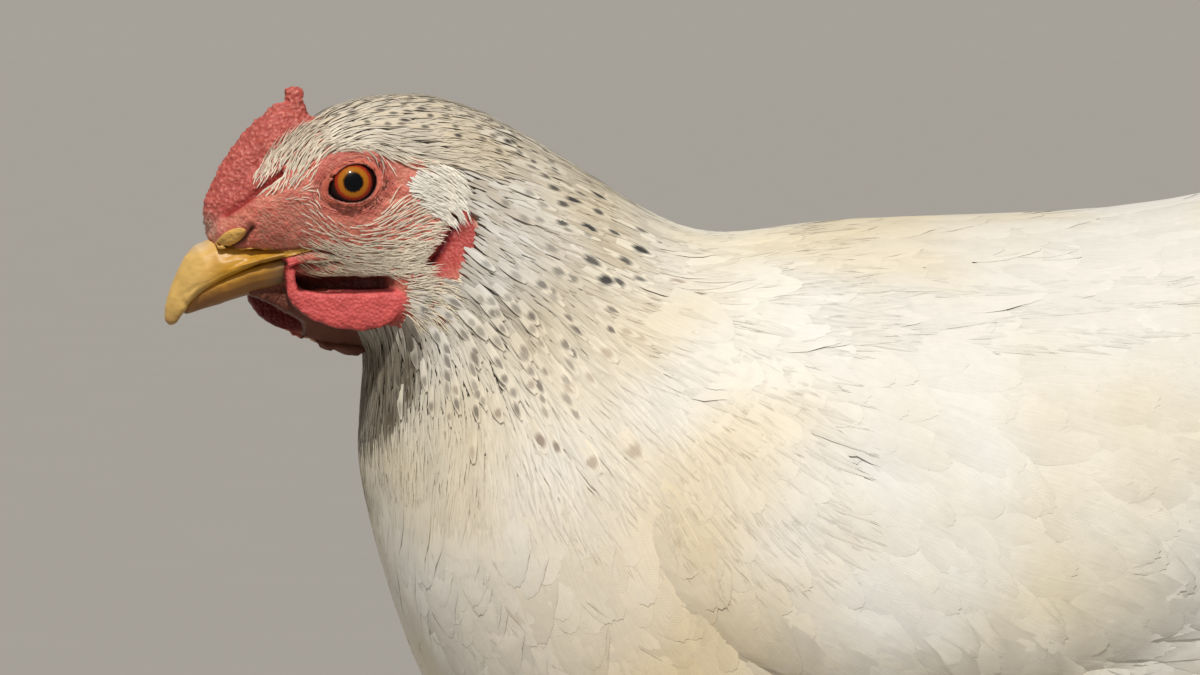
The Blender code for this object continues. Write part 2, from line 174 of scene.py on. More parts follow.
# Drawn on the side of the head in mm ahead of and above the eyes: the folds of skin that hang.
NEAR_WATTLE = [(13.7, -15.5), (13.7, -19.5), (13.6, -22.0), (12.5, -24.5), (10.4, -26.2), (8.6, -27.5),
               (4.9, -29.2), (1.2, -30.3), (-1.8, -30.4), (-5.1, -29.4), (-7.5, -27.6), (-8.9, -25.0),
               (-9.2, -23.2), (-8.0, -21.9), (-4, -22.0), (0, -22.2), (4, -22.3), (7.5, -22.2),
               (10.4, -21.7), (11.8, -20.6), (12.1, -18.0), (12.1, -15.5)]
FAR_WATTLE = [(17.4, -20.0), (18.6, -24.0), (16.5, -27.0), (13.4, -29.9), (10.0, -32.5), (7.0, -34.4),
              (3.0, -35.2), (-2.0, -34.4), (-6.0, -32.0), (-8.0, -28.0), (-8.2, -23.5), (-4, -21.5),
              (4, -20.5), (12, -19.0)]
STALK = [(13.8, -12.5), (13.8, -19.0), (12.0, -19.0), (12.0, -12.5)]
WATTLE_ROOT = [(12.0, -23.2), (10.0, -25.8), (2.0, -28.0), (-5.0, -27.5), (-7.0, -23.4)]
CHIN = [(21.5, -19.0), (20.5, -22.3), (16.0, -24.0), (10.0, -27.5), (2.0, -31.0), (-6.0, -33.0),
        (-10.0, -30.0), (-6.0, -20.0), (6.0, -15.5), (16.0, -16.0)]
THROAT = [(10.0, -32.4), (6.0, -35.6), (0.0, -37.0), (-6.0, -37.8), (-11.6, -38.6), (-15.0, -42.0),
          (-22.0, -38.0), (-18.0, -28.0), (-6.0, -24.0), (6.0, -26.0)]
LOBE = [(-21.9, -3.4), (-22.8, -6.8), (-23.1, -10.2), (-22.4, -13.2), (-20.7, -15.7), (-17.2, -18.3),
        (-13.4, -19.5), (-12.0, -18.4), (-12.9, -16.4), (-14.6, -14.4), (-16.6, -11.6), (-17.8, -9.1),
        (-19.6, -6.4)]
LOBE_LINE = ((-22.0, -4.5), (-20.6, -9.5), (-18.4, -13.8), (-14.0, -17.8))
LOBE_SLIT = ((-19.8, -6.0), (-18.6, -9.0), (-16.6, -12.6), (-14.2, -15.8))

# Landmarks along the side of the bird (y, z in mm) and how far below level the coat points there.
LIE = np.array([
    (-155, 316, -6), (-125, 316, 8), (-105, 307, 26), (-85, 293, 28), (-62, 284, 12),
    (-115, 285, 38), (-105, 265, 54), (-138, 245, 84), (-135, 225, 88), (-75, 262, 42),
    (-80, 235, 60), (-115, 200, 72), (-95, 160, 50), (-60, 128, 15), (-40, 215, 30),
    (0, 200, 20), (-10, 150, 32), (20, 125, 0), (80, 170, -25), (-40, 288, 4),
    (0, 290, 0), (50, 298, -6), (95, 300, -24), (140, 320, -32), (110, 215, -38),
    (20, 250, 12), (70, 250, 2)], float)
# Flecks of the plumage, on both sides alike: y and z in mm, half length along the coat, half width,
# how dark, and how brown.
FLECKS = [
    (-115.6, 307.3, 1.0, 0.4, 0.8, 0), (-112.5, 306.1, 1.1, 0.7, 1, 0), (-114.6, 304.1, 1.0, 0.4, 0.8, 0),
    (-111.1, 307.4, 0.9, 0.4, 0.6, 0), (-107.5, 300.4, 1.6, 0.5, 0.7, 0),
    (-104.7, 299.5, 1.3, 0.5, 0.8, 0), (-103, 296.8, 1.4, 0.6, 0.9, 0), (-101.4, 293.5, 1.3, 0.8, 0.9, 0),
    (-99.2, 294.1, 1.8, 0.7, 1, 0), (-97.2, 295.5, 1.6, 0.5, 0.8, 0), (-93.4, 295, 1.9, 0.7, 1, 0),
    (-93.8, 291.9, 1.2, 0.9, 0.9, 0), (-102.2, 300.3, 1.3, 0.4, 0.6, 0),
    (-101.9, 289.5, 1.3, 1.0, 0.9, 0), (-100.8, 288.1, 1.0, 0.4, 0.5, 0), (-95.9, 289, 1.8, 1.0, 1, 0),
    (-96.4, 287.3, 1.0, 0.5, 0.5, 0), (-90.5, 288.2, 1.3, 0.6, 0.9, 0), (-84.9, 287.8, 1.6, 0.6, 0.8, 0),
    (-85.2, 284.5, 1.8, 1.2, 1, 0), (-80.1, 285.1, 1.6, 0.5, 0.9, 0), (-95.3, 282.8, 2.2, 1.0, 0.9, 0),
    (-88.7, 282.4, 1.7, 1.1, 0.9, 0), (-93.1, 278.2, 1.7, 1.4, 1, 0), (-90.2, 278.2, 1.6, 1.3, 0.9, 0),
    (-86, 278.5, 1.6, 0.5, 0.8, 0), (-99.7, 279, 1.3, 1, 0.6, 0), (-102.9, 279.9, 1.4, 0.9, 0.6, 0),
    (-106.7, 276.8, 1.4, 0.9, 0.7, 0), (-103.7, 276.4, 1.0, 0.5, 0.5, 0),
    (-82.7, 275.3, 1.9, 0.4, 0.6, 0.3), (-78.6, 277.5, 1.6, 1, 0.6, 0.7),
    (-74.5, 275.3, 1.8, 0.4, 0.7, 0.4), (-77, 269.9, 2.3, 1.9, 0.5, 0.8),
    (-75.6, 285.9, 2.3, 0.4, 0.7, 0), (-72.4, 286.2, 1.8, 0.4, 0.6, 0),
    (-108.6, 270.5, 1.3, 0.6, 0.8, 0.1), (-108.6, 267.9, 1.1, 0.6, 0.5, 0.3),
    (-100, 267.8, 1.7, 0.4, 0.8, 0), (-101.9, 265.2, 1.4, 0.7, 0.7, 0.2),
    (-92.6, 271.9, 1.4, 0.5, 0.7, 0.1), (-92, 268.9, 1.1, 0.5, 0.8, 0.1),
    (-90.1, 267.4, 1.3, 0.7, 0.4, 0.7), (-86.1, 267.3, 1.4, 0.6, 0.35, 0.8),
    (-93.7, 263.5, 1.5, 1, 0.45, 0.8), (-110.3, 263.3, 1.6, 0.7, 0.6, 0.3),
    (-119.7, 262.2, 1.7, 0.8, 0.7, 0.2), (-106.4, 259.6, 1.1, 0.4, 0.6, 0.3),
    (-97, 258.8, 1.5, 0.6, 0.4, 0.7), (-108.9, 256.8, 1.0, 0.7, 0.5, 0.6),
    (-101.9, 256.4, 1.7, 1.2, 0.45, 0.8), (-124.3, 255.1, 1.0, 0.6, 0.5, 0.5),
    (-120.2, 254.2, 1.1, 0.6, 0.6, 0.3), (-115.8, 250.8, 1.1, 0.9, 0.6, 0.6),
    (-125.4, 249.7, 0.8, 0.4, 0.5, 0.3), (-108, 245.5, 1.7, 1.3, 0.7, 0.5),
    (-105, 244.3, 1.4, 0.7, 0.7, 0.4), (-89.8, 243.6, 1.7, 1.7, 0.45, 0.8),
    (-97.6, 241.8, 1.3, 1.3, 0.5, 0.7), (-120.9, 242.7, 1.3, 0.8, 0.3, 0.8),
    (-119.2, 267.1, 1.4, 0.7, 0.5, 0.1), (-116.4, 273.8, 1.4, 0.6, 0.5, 0),
    (-115.6, 271.2, 1.1, 0.6, 0.5, 0), (-113.1, 294.2, 1.1, 0.5, 0.5, 0),
    (-108.3, 295.7, 1.3, 0.5, 0.5, 0), (-105.5, 293.7, 1.3, 0.5, 0.5, 0),
    (-103.9, 284.9, 1.6, 0.6, 0.5, 0), (-109.7, 290.2, 1.4, 0.5, 0.4, 0), (-106.7, 290, 1.1, 0.5, 0.5, 0),
    (-111.4, 279, 1.6, 0.5, 0.4, 0), (-117.5, 281.2, 1.3, 0.5, 0.5, 0)]


def smooth_step(value, start, end):
    share = np.clip((value - start) / (end - start), 0.0, 1.0)
    return share * share * (3 - 2 * share)


def ridge(distance, width, middle=0.0):
    """1 where distance is middle, and next to nothing further off than twice the width."""
    return np.exp(-((distance - middle) / width) ** 2)


def pick(*objects):
    bpy.ops.object.select_all(action="DESELECT")
    for obj in objects:
        obj.select_set(True)
    bpy.context.view_layer.objects.active = objects[0]


def edit_whole(obj, *steps):
    """Does steps in edit mode with the whole mesh chosen: each is an operator and its settings."""
    pick(obj)
    bpy.ops.object.mode_set(mode="EDIT")
    bpy.ops.mesh.select_all(action="SELECT")
    for operator, settings in steps:
        operator(**settings)
    bpy.ops.object.mode_set(mode="OBJECT")


FACE_OUT = (bpy.ops.mesh.normals_make_consistent, {"inside": False})


def welded_copy(node):
    """A copy of a CAD solid with its loose triangles welded, to be worked on in the solid's place."""
    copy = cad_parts[node].copy()
    copy.data = copy.data.copy()
    scene.collection.objects.link(copy)
    copy.data.materials.clear()
    for key in [key for key in copy.keys() if key.startswith("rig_")]:
        del copy[key]
    copy.parent = None
    copy.hide_render = copy.hide_viewport = False
    edit_whole(copy, (bpy.ops.mesh.remove_doubles, {"threshold": WELD}), FACE_OUT)
    return copy


def apply_modifier(obj, kind, **settings):
    modifier = obj.modifiers.new(kind, kind)
    for setting, choice in settings.items():
        setattr(modifier, setting, choice)
    pick(obj)
    bpy.ops.object.modifier_apply(modifier=modifier.name)


def grow_together(copies, name, grain, swell):
    """Swells the solids by a hair so that they meet, and turns them into one closed surface."""
    for copy in copies:
        apply_modifier(copy, "DISPLACE", strength=swell, mid_level=0.0, direction="NORMAL")
    pick(*copies)
    bpy.ops.object.join()
    whole = bpy.context.object
    whole.name = whole.data.name = name
    apply_modifier(whole, "REMESH", mode="VOXEL", voxel_size=grain, adaptivity=0.0)
    return whole


def read(items, field, wide, kind=float):
    """One field of a mesh's points, edges, corners or faces, a row for each."""
    flat = np.empty(len(items) * wide, kind)
    items.foreach_get(field, flat)
    return flat.reshape(-1, wide)


def points_of(obj):
    return read(obj.data.vertices, "co", 3)


def normals_of(obj):
    return read(obj.data.vertices, "normal", 3)


def edges_of(obj):
    return read(obj.data.edges, "vertices", 2, np.int32)


def move_points(obj, points):
    obj.data.vertices.foreach_set("co", points.ravel())
    obj.data.update()


def store(mesh, name, values):
    """Keeps a number or a colour for each point of a mesh, for its material to use."""
    kind, field = ("FLOAT", "value") if values.ndim == 1 else ("FLOAT_COLOR", "color")
    mesh.attributes.new(name, kind, "POINT").data.foreach_set(field, values.ravel())


def rub_smooth(points, edges, rounds, share, keep_size=True):
    """Rubs bumps out of a surface, with share 0 to 1 at each point, without shrinking it."""
    count = len(points)
    ties = np.maximum(np.bincount(edges.ravel(), minlength=count), 1)[:, None]
    first, second = edges[:, 0], edges[:, 1]
    for _ in range(rounds):
        for pull in ((0.6, -0.62) if keep_size else (0.6,)):
            total = np.stack([np.bincount(first, points[second, k], count)
                              + np.bincount(second, points[first, k], count) for k in range(3)], 1)
            points = points + pull * share[:, None] * (total / ties - points)
    return points


def surface_tree(obj):
    mesh = obj.data
    return BVHTree.FromPolygons([v.co for v in mesh.vertices], [p.vertices for p in mesh.polygons])


def tree_and_corners(solid):
    points = points_of(solid)
    return surface_tree(solid), points.min(axis=0), points.max(axis=0)


def near(points, shape, reach):
    """How far each point is from a solid, in mm, up to reach."""
    tree, low, high = tree_and_corners(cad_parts[shape]) if isinstance(shape, str) else shape
    gap = np.full(len(points), reach)
    close = np.all((points > low - reach * MM) & (points < high + reach * MM), axis=1)
    for index in np.flatnonzero(close):
        found = tree.find_nearest(points[index], reach * MM)
        if found[3] is not None:
            gap[index] = found[3] / MM
    return gap


def eye_middle(side):
    low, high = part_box("eye_" + side)
    return (np.array(low) + np.array(high)) / 2


# The head's own directions: ahead along the beak, up, and out to her left, from midway between the eyes.
head_middle = (eye_middle("left") + eye_middle("right")) / 2
out = eye_middle("left") - eye_middle("right")
eye_gap = float(np.linalg.norm(out)) / MM
out = out / np.linalg.norm(out)
upwards = np.array([0.0, 0.0, 1.0])
ahead = np.cross(out, upwards)


def on_head(points):
    """Places as (ahead, up, out) from the middle of the head, in mm."""
    from_middle = (points - head_middle) / MM
    return from_middle @ ahead, from_middle @ upwards, from_middle @ out


def coat_depth(points):
    """How deep the skin lies under the tips of the coat, in mm."""
    forth, rise, _ = on_head(points)
    height = points[:, 2] / MM
    behind = smooth_step(-forth, 14, 44)
    below = smooth_step(-rise, 27, 46)
    hairline = np.interp(forth, (-25, -14, 0), (3.5, 5.0, 7.6))
    crown = 1.5 * smooth_step(rise - hairline, 0, 4.5) * smooth_step(-forth, -9, -3)
    body = np.maximum(COAT_ON_BODY * np.maximum(behind, below), crown)
    return body * smooth_step(height, 97, 128)


def inside_lids(points, side):
    """How far out from the middle of the eye's opening, in openings: 1 is the lid's edge."""
    forth, rise, across = on_head(points)
    forth, rise = forth - LIDS_AHEAD, rise - LIDS_UP
    along = forth * math.cos(LID_TILT) + rise * math.sin(LID_TILT)
    over = rise * math.cos(LID_TILT) - forth * math.sin(LID_TILT)
    rounded = np.hypot(along / EYE_OPENING[0], over / EYE_OPENING[1])
    pointed = ((np.abs(along) / (EYE_OPENING[0] + 0.7)) ** 1.6
               + (np.abs(over) / EYE_OPENING[1]) ** 1.6) ** 0.625
    away = np.where(along > 0, pointed, rounded)
    return np.where(across * side > 6, away, 9.0)


def from_line(forth, rise, start, end):
    """Distance in mm from a line drawn on the side of the head, and the share of the way along it."""
    run = np.array([end[0] - start[0], end[1] - start[1]])
    share = ((forth - start[0]) * run[0] + (rise - start[1]) * run[1]) / (run @ run)
    share = np.clip(share, 0, 1)
    return np.hypot(forth - start[0] - share * run[0], rise - start[1] - share * run[1]), share


def from_path(forth, rise, path):
    return np.minimum.reduce([from_line(forth, rise, start, end)[0] for start, end in zip(path, path[1:])])


def down_angle(side_view):
    """How far below level the coat points, in radians, at places (y, z) in mm."""
    apart = ((side_view[:, None, :] - LIE[None, :, :2]) ** 2).sum(axis=2)
    weights = 1 / (apart + 40.0) ** 1.6
    return np.radians((weights * LIE[:, 2]).sum(axis=1) / weights.sum(axis=1))


def more_flecks():
    """The small flecks that crowd the crown, and the dim ones under the cheek."""
    rng = np.random.default_rng(5)
    flecks, taken = [], []
    for _ in range(2600):
        forth, rise = rng.uniform(-48, 3), rng.uniform(-46, 20)
        y, z = head_middle[1] / MM - forth * 0.98, head_middle[2] / MM + rise
        crown = rise > np.interp(forth, (-48, -36, -26, -12, 3), (2, 7, 10, 12, 14))
        throat = -46 < rise < -22 and forth < (-17 if rise > -31 else -11)
        if not crown and not throat:
            continue
        gap = 2.1 if crown else 3.6
        if any(abs(y - a) < gap * 1.25 and abs(z - b) < gap * 0.62 for a, b in taken):
            continue
        taken.append((y, z))
        if crown:
            flecks.append((y, z, rng.uniform(0.7, 1.3), rng.uniform(0.28, 0.42), rng.uniform(0.7, 1.0), 0))
        else:
            flecks.append((y, z, rng.uniform(1.0, 1.9), rng.uniform(0.4, 0.7), rng.uniform(0.4, 0.75), 0.1))
    return flecks


def flecks_at(points):
    """How far inside a fleck each point is (over a half is inside), how dark it is, and how brown."""
    flecks = np.array(FLECKS + more_flecks())
    y, z = points[:, 1] / MM, points[:, 2] / MM
    order = np.argsort(y)
    sorted_y = y[order]
    inside, dark, brown = np.zeros(len(points)), np.zeros(len(points)), np.zeros(len(points))
    downs = down_angle(flecks[:, :2])
    for (fleck_y, fleck_z, long, wide, strength, warm), down in zip(flecks, downs):
        reach = long * 1.8 + 0.6
        first, last = np.searchsorted(sorted_y, (fleck_y - reach, fleck_y + reach))
        chosen = order[first:last]
        chosen = chosen[np.abs(z[chosen] - fleck_z) < reach]
        gap_y, gap_z = y[chosen] - fleck_y, z[chosen] - fleck_z
        along = (gap_y * math.cos(down) - gap_z * math.sin(down)) / long
        across = (gap_y * math.sin(down) + gap_z * math.cos(down)) / (wide + 0.15)
        value = np.clip(1 - 0.5 * (along ** 2 + across ** 2), 0, 1)
        better = value > inside[chosen]
        picked = chosen[better]
        inside[picked], dark[picked], brown[picked] = value[better], strength, warm
    return inside, dark, brown


def flat_form(name, outline, sign, inner, outer, lean=0.0):
    """A slab of flesh drawn by its outline on the side of the head. inner and outer are its distances
    out from the middle in mm, and lean is how much further out it stands for each mm ahead."""
    rows = []
    for distance in (inner, outer):
        rows += [head_middle + MM * (forth * ahead + rise * upwards
                                     + sign * (distance + lean * (forth - outline[0][0])) * out)
                 for forth, rise in outline]
    count = len(outline)
    faces = [list(range(count)), list(range(2 * count - 1, count - 1, -1))]
    faces += [(index, count + index, count + (index + 1) % count, (index + 1) % count)
              for index in range(count)]
    mesh = bpy.data.meshes.new(name)
    mesh.from_pydata([tuple(place) for place in rows], [], faces)
    form = bpy.data.objects.new(name, mesh)
    scene.collection.objects.link(form)
    edit_whole(form, (bpy.ops.mesh.quads_convert_to_tris, {}), FACE_OUT)
    return form


hanging = ("wattle_left", "wattle_right", "earlobe_left", "earlobe_right")
bony = [node for node in FLESH if node not in hanging]
flesh = [welded_copy(node) for node in bony]
folds = {}
for side, sign, outline in (("left", 1, NEAR_WATTLE), ("right", -1, FAR_WATTLE)):
    fold = flat_form("wattle_" + side, outline, sign, 8.2, 11.0, -0.34)
    folds["wattle_" + side] = tree_and_corners(fold)
    flesh.append(fold)
    fold = flat_form("earlobe_" + side, LOBE, sign, 21.2, 24.6, -0.36)
    folds["earlobe_" + side] = tree_and_corners(fold)
    flesh.append(fold)
    flesh.append(flat_form("stalk_" + side, STALK, sign, 3.0, 10.2))
    flesh.append(flat_form("root_" + side, WATTLE_ROOT, sign, 3.0, 9.6, -0.34))
flesh.append(flat_form("chin", CHIN, 1, -4.5, 4.5))
flesh.append(flat_form("throat", THROAT, 1, -3.2, 3.2))
edit_whole(flesh[bony.index("tail")], (bpy.ops.mesh.bisect, {
    "plane_co": (0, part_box("tail")[0][1] + TAIL_STUMP, 0), "plane_no": (0, 1, 0), "use_fill": True,
    "clear_outer": True}))
skin = grow_together(flesh, "skin", SKIN_GRAIN, SWELL)

# The coarse edges of the solids are rubbed out, then the skin is drawn in under the coat.
points, edges = points_of(skin), edges_of(skin)
fine = np.minimum.reduce([near(points, node, 2.0) for node in ["comb"] + FEET] + [
    near(points, fold, 2.0) for fold in folds.values()])
rub = 0.35 + 0.65 * smooth_step(fine, 0.6, 2.0)
points = rub_smooth(points, edges, 14, rub)
depth = coat_depth(points)
for _ in range(6):
    move_points(skin, points)
    points = points - normals_of(skin) * (depth / 6 * MM)[:, None]
    points = rub_smooth(points, edges, 2, np.clip(depth / 3, 0, 1), keep_size=False)
move_points(skin, points)

# Under the thick coat a coarser skin is enough; the bare parts get twice the detail.
group = skin.vertex_groups.new(name="under_coat")
group.add(np.flatnonzero(depth > 2.0).tolist(), 1.0, "REPLACE")
apply_modifier(skin, "DECIMATE", ratio=COVERED_DETAIL, vertex_group="under_coat", vertex_group_factor=1.0)
skin.vertex_groups.clear()
points = points_of(skin)
forth, rise, across = on_head(points)
bare_detail = (forth > -24) & (rise > -32) & (coat_depth(points) < 1.0) & (points[:, 2] > 0.24)
pick(skin)
skin.data.vertices.foreach_set("select", bare_detail)
bpy.ops.object.mode_set(mode="EDIT")
bpy.ops.mesh.select_mode(type="VERT")
bpy.ops.mesh.subdivide(number_cuts=1, smoothness=0.0)
bpy.ops.mesh.select_all(action="SELECT")
bpy.ops.mesh.quads_convert_to_tris()
bpy.ops.object.mode_set(mode="OBJECT")
points, edges = points_of(skin), edges_of(skin)
points = rub_smooth(points, edges, 2, np.full(len(points), 0.6))
move_points(skin, points)

# Modelling of the head. First whole forms are shifted: the lids drawn in over the eye, the far wattle
# let down, each wattle's flat top set back under the cheek, and the lobes moved back.
def draw_in_lids(points, side, sign):
    forth, rise, across = on_head(points)
    from_ball = np.linalg.norm(points - eye_middle(side), axis=1) / MM
    beside_ball = across * sign - eye_gap / 2
    outer = (from_ball > ball_size - 0.3) & (beside_ball > 1.0)
    away_forth, away_rise = forth - LIDS_AHEAD, rise - LIDS_UP
    reach = np.maximum(np.hypot(away_forth, away_rise), 0.01)
    turn = np.arctan2(away_rise, away_forth)
    steps = np.linspace(-math.pi, math.pi, 25)
    rims = []
    for step in steps[:-1]:
        sector = outer & (np.abs((turn - step + math.pi) % (2 * math.pi) - math.pi) < 0.2) & (reach > 3)
        rims.append(np.percentile(reach[sector], 0.5) if sector.any() else 6.0)
    socket = np.interp(turn, steps, rims + rims[:1])                  # the rim of the hole in the skin
    wanted = reach / np.maximum(inside_lids(points, sign), 0.01)      # the lid's edge in this direction
    wanted = np.where(inside_lids(points, sign) < 8, wanted, reach)
    pull = (socket - wanted) * ridge(np.maximum(reach - socket, 0), 2.2)
    pull = np.where(across * sign > 8, pull, 0) * (reach < 12)
    drawn = np.where(outer & (across * sign > 8) & (reach < 12), np.maximum(reach - pull, wanted),
                     reach - pull)
    share = ((reach - drawn) / reach)[:, None] * MM
    points = points - share * (away_forth[:, None] * ahead + away_rise[:, None] * upwards)
    forth, rise, across = on_head(points)
    over_ball = np.sqrt(np.maximum((ball_size + 0.45) ** 2 - forth ** 2 - rise ** 2, 0))
    short = np.where(outer, np.clip(over_ball - (across * sign - eye_gap / 2), 0, 4), 0)
    return points + (sign * short * MM)[:, None] * out


ball_size = (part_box("eye_left")[1][2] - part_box("eye_left")[0][2]) / 2 / MM
points = draw_in_lids(draw_in_lids(points, "left", 1), "right", -1)
from_comb = near(points, "comb", 3.0)
from_left, from_right = (near(points, folds["wattle_" + side], 3.0) for side in ("left", "right"))
from_wattle = np.minimum(from_left, from_right)
from_lobe = np.minimum(near(points, folds["earlobe_left"], 4.0), near(points, folds["earlobe_right"], 4.0))
forth, rise, across = on_head(points)
# The finger at the back of the comb stands up straight, with a blunt tip.
points -= ((from_comb < 2.5) * (forth > 5) * 0.13 * np.maximum(rise - 17.0, 0) * MM)[:, None] * upwards
high = smooth_step(rise, 16.9, 17.9) * (from_comb < 2.5) * (forth > 5)
front, back = 14.3 - 0.53 * (rise - 17), 7.6 + 0.6 * np.maximum(rise - 17.5, 0)
share = (forth - back) / (front - back)
straight = 8.2 + 0.1 * (rise - 17) + share * (12.5 - 0.14 * (rise - 17) - 8.2 - 0.1 * (rise - 17))
points += (high * (straight - forth) * MM)[:, None] * ahead
# The skin between cheek and wattle is drawn deep in, so that each wattle hangs free of the cheek.
under_cheek = np.zeros(len(points))
for sign, top, bottom in ((1, -17.6, -21.9), (-1, -18.2, -21.0)):
    hollow = smooth_step(rise, bottom, bottom + 0.7) * (1 - smooth_step(rise, top - 1.6, top))
    hollow *= smooth_step(forth, -8.5, -6.0) * (1 - smooth_step(forth, 10.8, 12.0)) * (across * sign > 5)
    points -= (sign * 3.4 * MM * hollow)[:, None] * out
    under_cheek = np.maximum(under_cheek, hollow)
move_points(skin, points)

# Then each change is a push in or out along the skin, in mm.
normals = normals_of(skin)
forth, rise, across = on_head(points)
beside = np.abs(across)
above_groove = (rise + 5.6) - (forth - 26.0) * (5.6 + 5.0) / (26.0 - 13.0) * -1
comb_face = smooth_step(above_groove, -0.5, 0.8) * smooth_step(forth, 10.5, 13.0) * (rise < 20)
comb_face = comb_face * smooth_step(rise, -8.5, -6.5)
on_comb = np.maximum(1 - smooth_step(from_comb, 0.5, 1.8), comb_face)
on_wattle = 1 - smooth_step(from_wattle, 0.5, 1.4)
on_lobe = 1 - smooth_step(from_lobe, 0.6, 1.8)
on_bare_head = (smooth_step(forth, -24, -18) * smooth_step(rise, -30, -26)
                * (points[:, 2] > 0.24) * (coat_depth(points) < 2.4))
push = np.zeros(len(points))
lids = np.minimum(inside_lids(points, 1), inside_lids(points, -1))
off_lids = smooth_step(lids, 1.2, 1.5)
push += 0.42 * ridge(lids, 0.10, 1.15)                # the swollen ring of the lids
push -= 0.45 * ridge(lids, 0.07, 1.36)                # the crease round it
push += 0.20 * ridge(lids, 0.09, 1.52)
groove, share = from_line(forth, rise, (15.0, 3.0), (26.0, -5.6))  # between the comb and the face
push -= 1.7 * ridge(groove, 0.7) * (beside > 3) * (1 - 0.6 * share)
slit = from_path(forth, rise, ((28.2, -13.0), (25.0, -13.3), (22.5, -11.2), (20.9, -8.5)))
push -= 0.9 * ridge(slit, 0.6) * (beside > 2)            # under the nostril's flap
roll = from_path(forth, rise, ((17.0, -15.9), (11.5, -14.9), (6.2, -14.4)))
push += 0.75 * ridge(roll, 0.75) * (beside > 6)          # the roll of skin along the gape
push += 0.45 * ridge(from_path(forth, rise, ((10.0, -17.4), (4.0, -17.0))), 0.7) * (beside > 8)
fold = np.minimum(from_path(forth, rise, ((13.5, -17.0), (8.0, -16.0), (3.6, -15.6))),
                  from_path(forth, rise, ((10.0, -13.1), (7.0, -13.2), (4.4, -14.0))))
push -= 0.85 * ridge(fold, 0.45) * (beside > 8)
horn_edge = np.interp(forth, *HORN_EDGE)
horn_strip = (1 - smooth_step(rise, horn_edge - 0.25, horn_edge + 0.25)) * smooth_step(forth, 9.4, 10.4)
horn_strip *= smooth_step(rise, -19, -17) * (beside > 3)
push -= 0.8 * horn_strip * smooth_step(rise + 14.9 + 0.35 * (forth - 10), -0.3, 0.3)
lobe_slit = from_path(forth, rise, LOBE_SLIT)
push -= 1.3 * ridge(lobe_slit, 0.9) * (beside > 12)
pebbles, creases, crumple = np.zeros(len(points)), np.zeros(len(points)), np.zeros(len(points))
for index in np.flatnonzero((on_bare_head > 0.02) | (on_comb + on_wattle + on_lobe > 0.02)):
    place = Vector(points[index]) / MM
    apart = noise.voronoi(place * 1.15, distance_metric="DISTANCE")[0]
    pebbles[index] = 1 - min(apart[0] * 1.7, 1.0) ** 2
    creases[index] = noise.fractal(place * 0.45, 1.0, 2.1, 4)
    crumple[index] = noise.noise(place * Vector((0.35, 0.35, 0.18)))
push += on_comb * (0.42 * pebbles - 0.15 + 0.55 * crumple + 0.25 * creases)
push += on_wattle * (0.12 * pebbles + 0.16 * creases)
push += on_lobe * (0.7 * crumple + 0.45 * creases)
plain_face = on_bare_head * (1 - on_comb) * (1 - on_wattle) * (1 - on_lobe) * off_lids
push += plain_face * (0.22 * pebbles + 0.28 * creases)
# Plates on the front of each shank and across the top of each toe, overlapping downwards.
height = points[:, 2] / MM
on_shank = smooth_step(height, 12, 18) * (1 - smooth_step(height, 90, 97))
plate = (height / 4.6 + 0.5 * (points[:, 0] > np.where(points[:, 0] > 0, 0.037, -0.037))) % 1.0
facing_front = smooth_step(-normals[:, 1], -0.2, 0.4)
push += on_shank * (facing_front * (0.42 * (1 - plate) - 0.2) + (1 - facing_front) * 0.1 * np.sin(height * 4))
on_toe = (1 - smooth_step(height, 9, 12)) * smooth_step(normals[:, 2], -0.1, 0.5)
from_ankle = np.hypot(np.abs(points[:, 0]) - 0.037, points[:, 1] + 0.006) / MM
push += on_toe * (0.36 * (1 - (from_ankle / 3.2) % 1.0) - 0.18)
points = points + normals * (push * MM)[:, None]
points[:, 2] = np.maximum(points[:, 2], 0.0)
move_points(skin, points)

# Colour of the skin at each point, with painted shade in its folds, slits and hollows and painted highlights
# on its pebbles.
tints = np.tile(np.array(PALE_SKIN), (len(points), 1))


def wash(colours, colour, share):
    share = np.clip(share, 0, 1)[:, None]
    return colours * (1 - share) + np.array(colour) * share


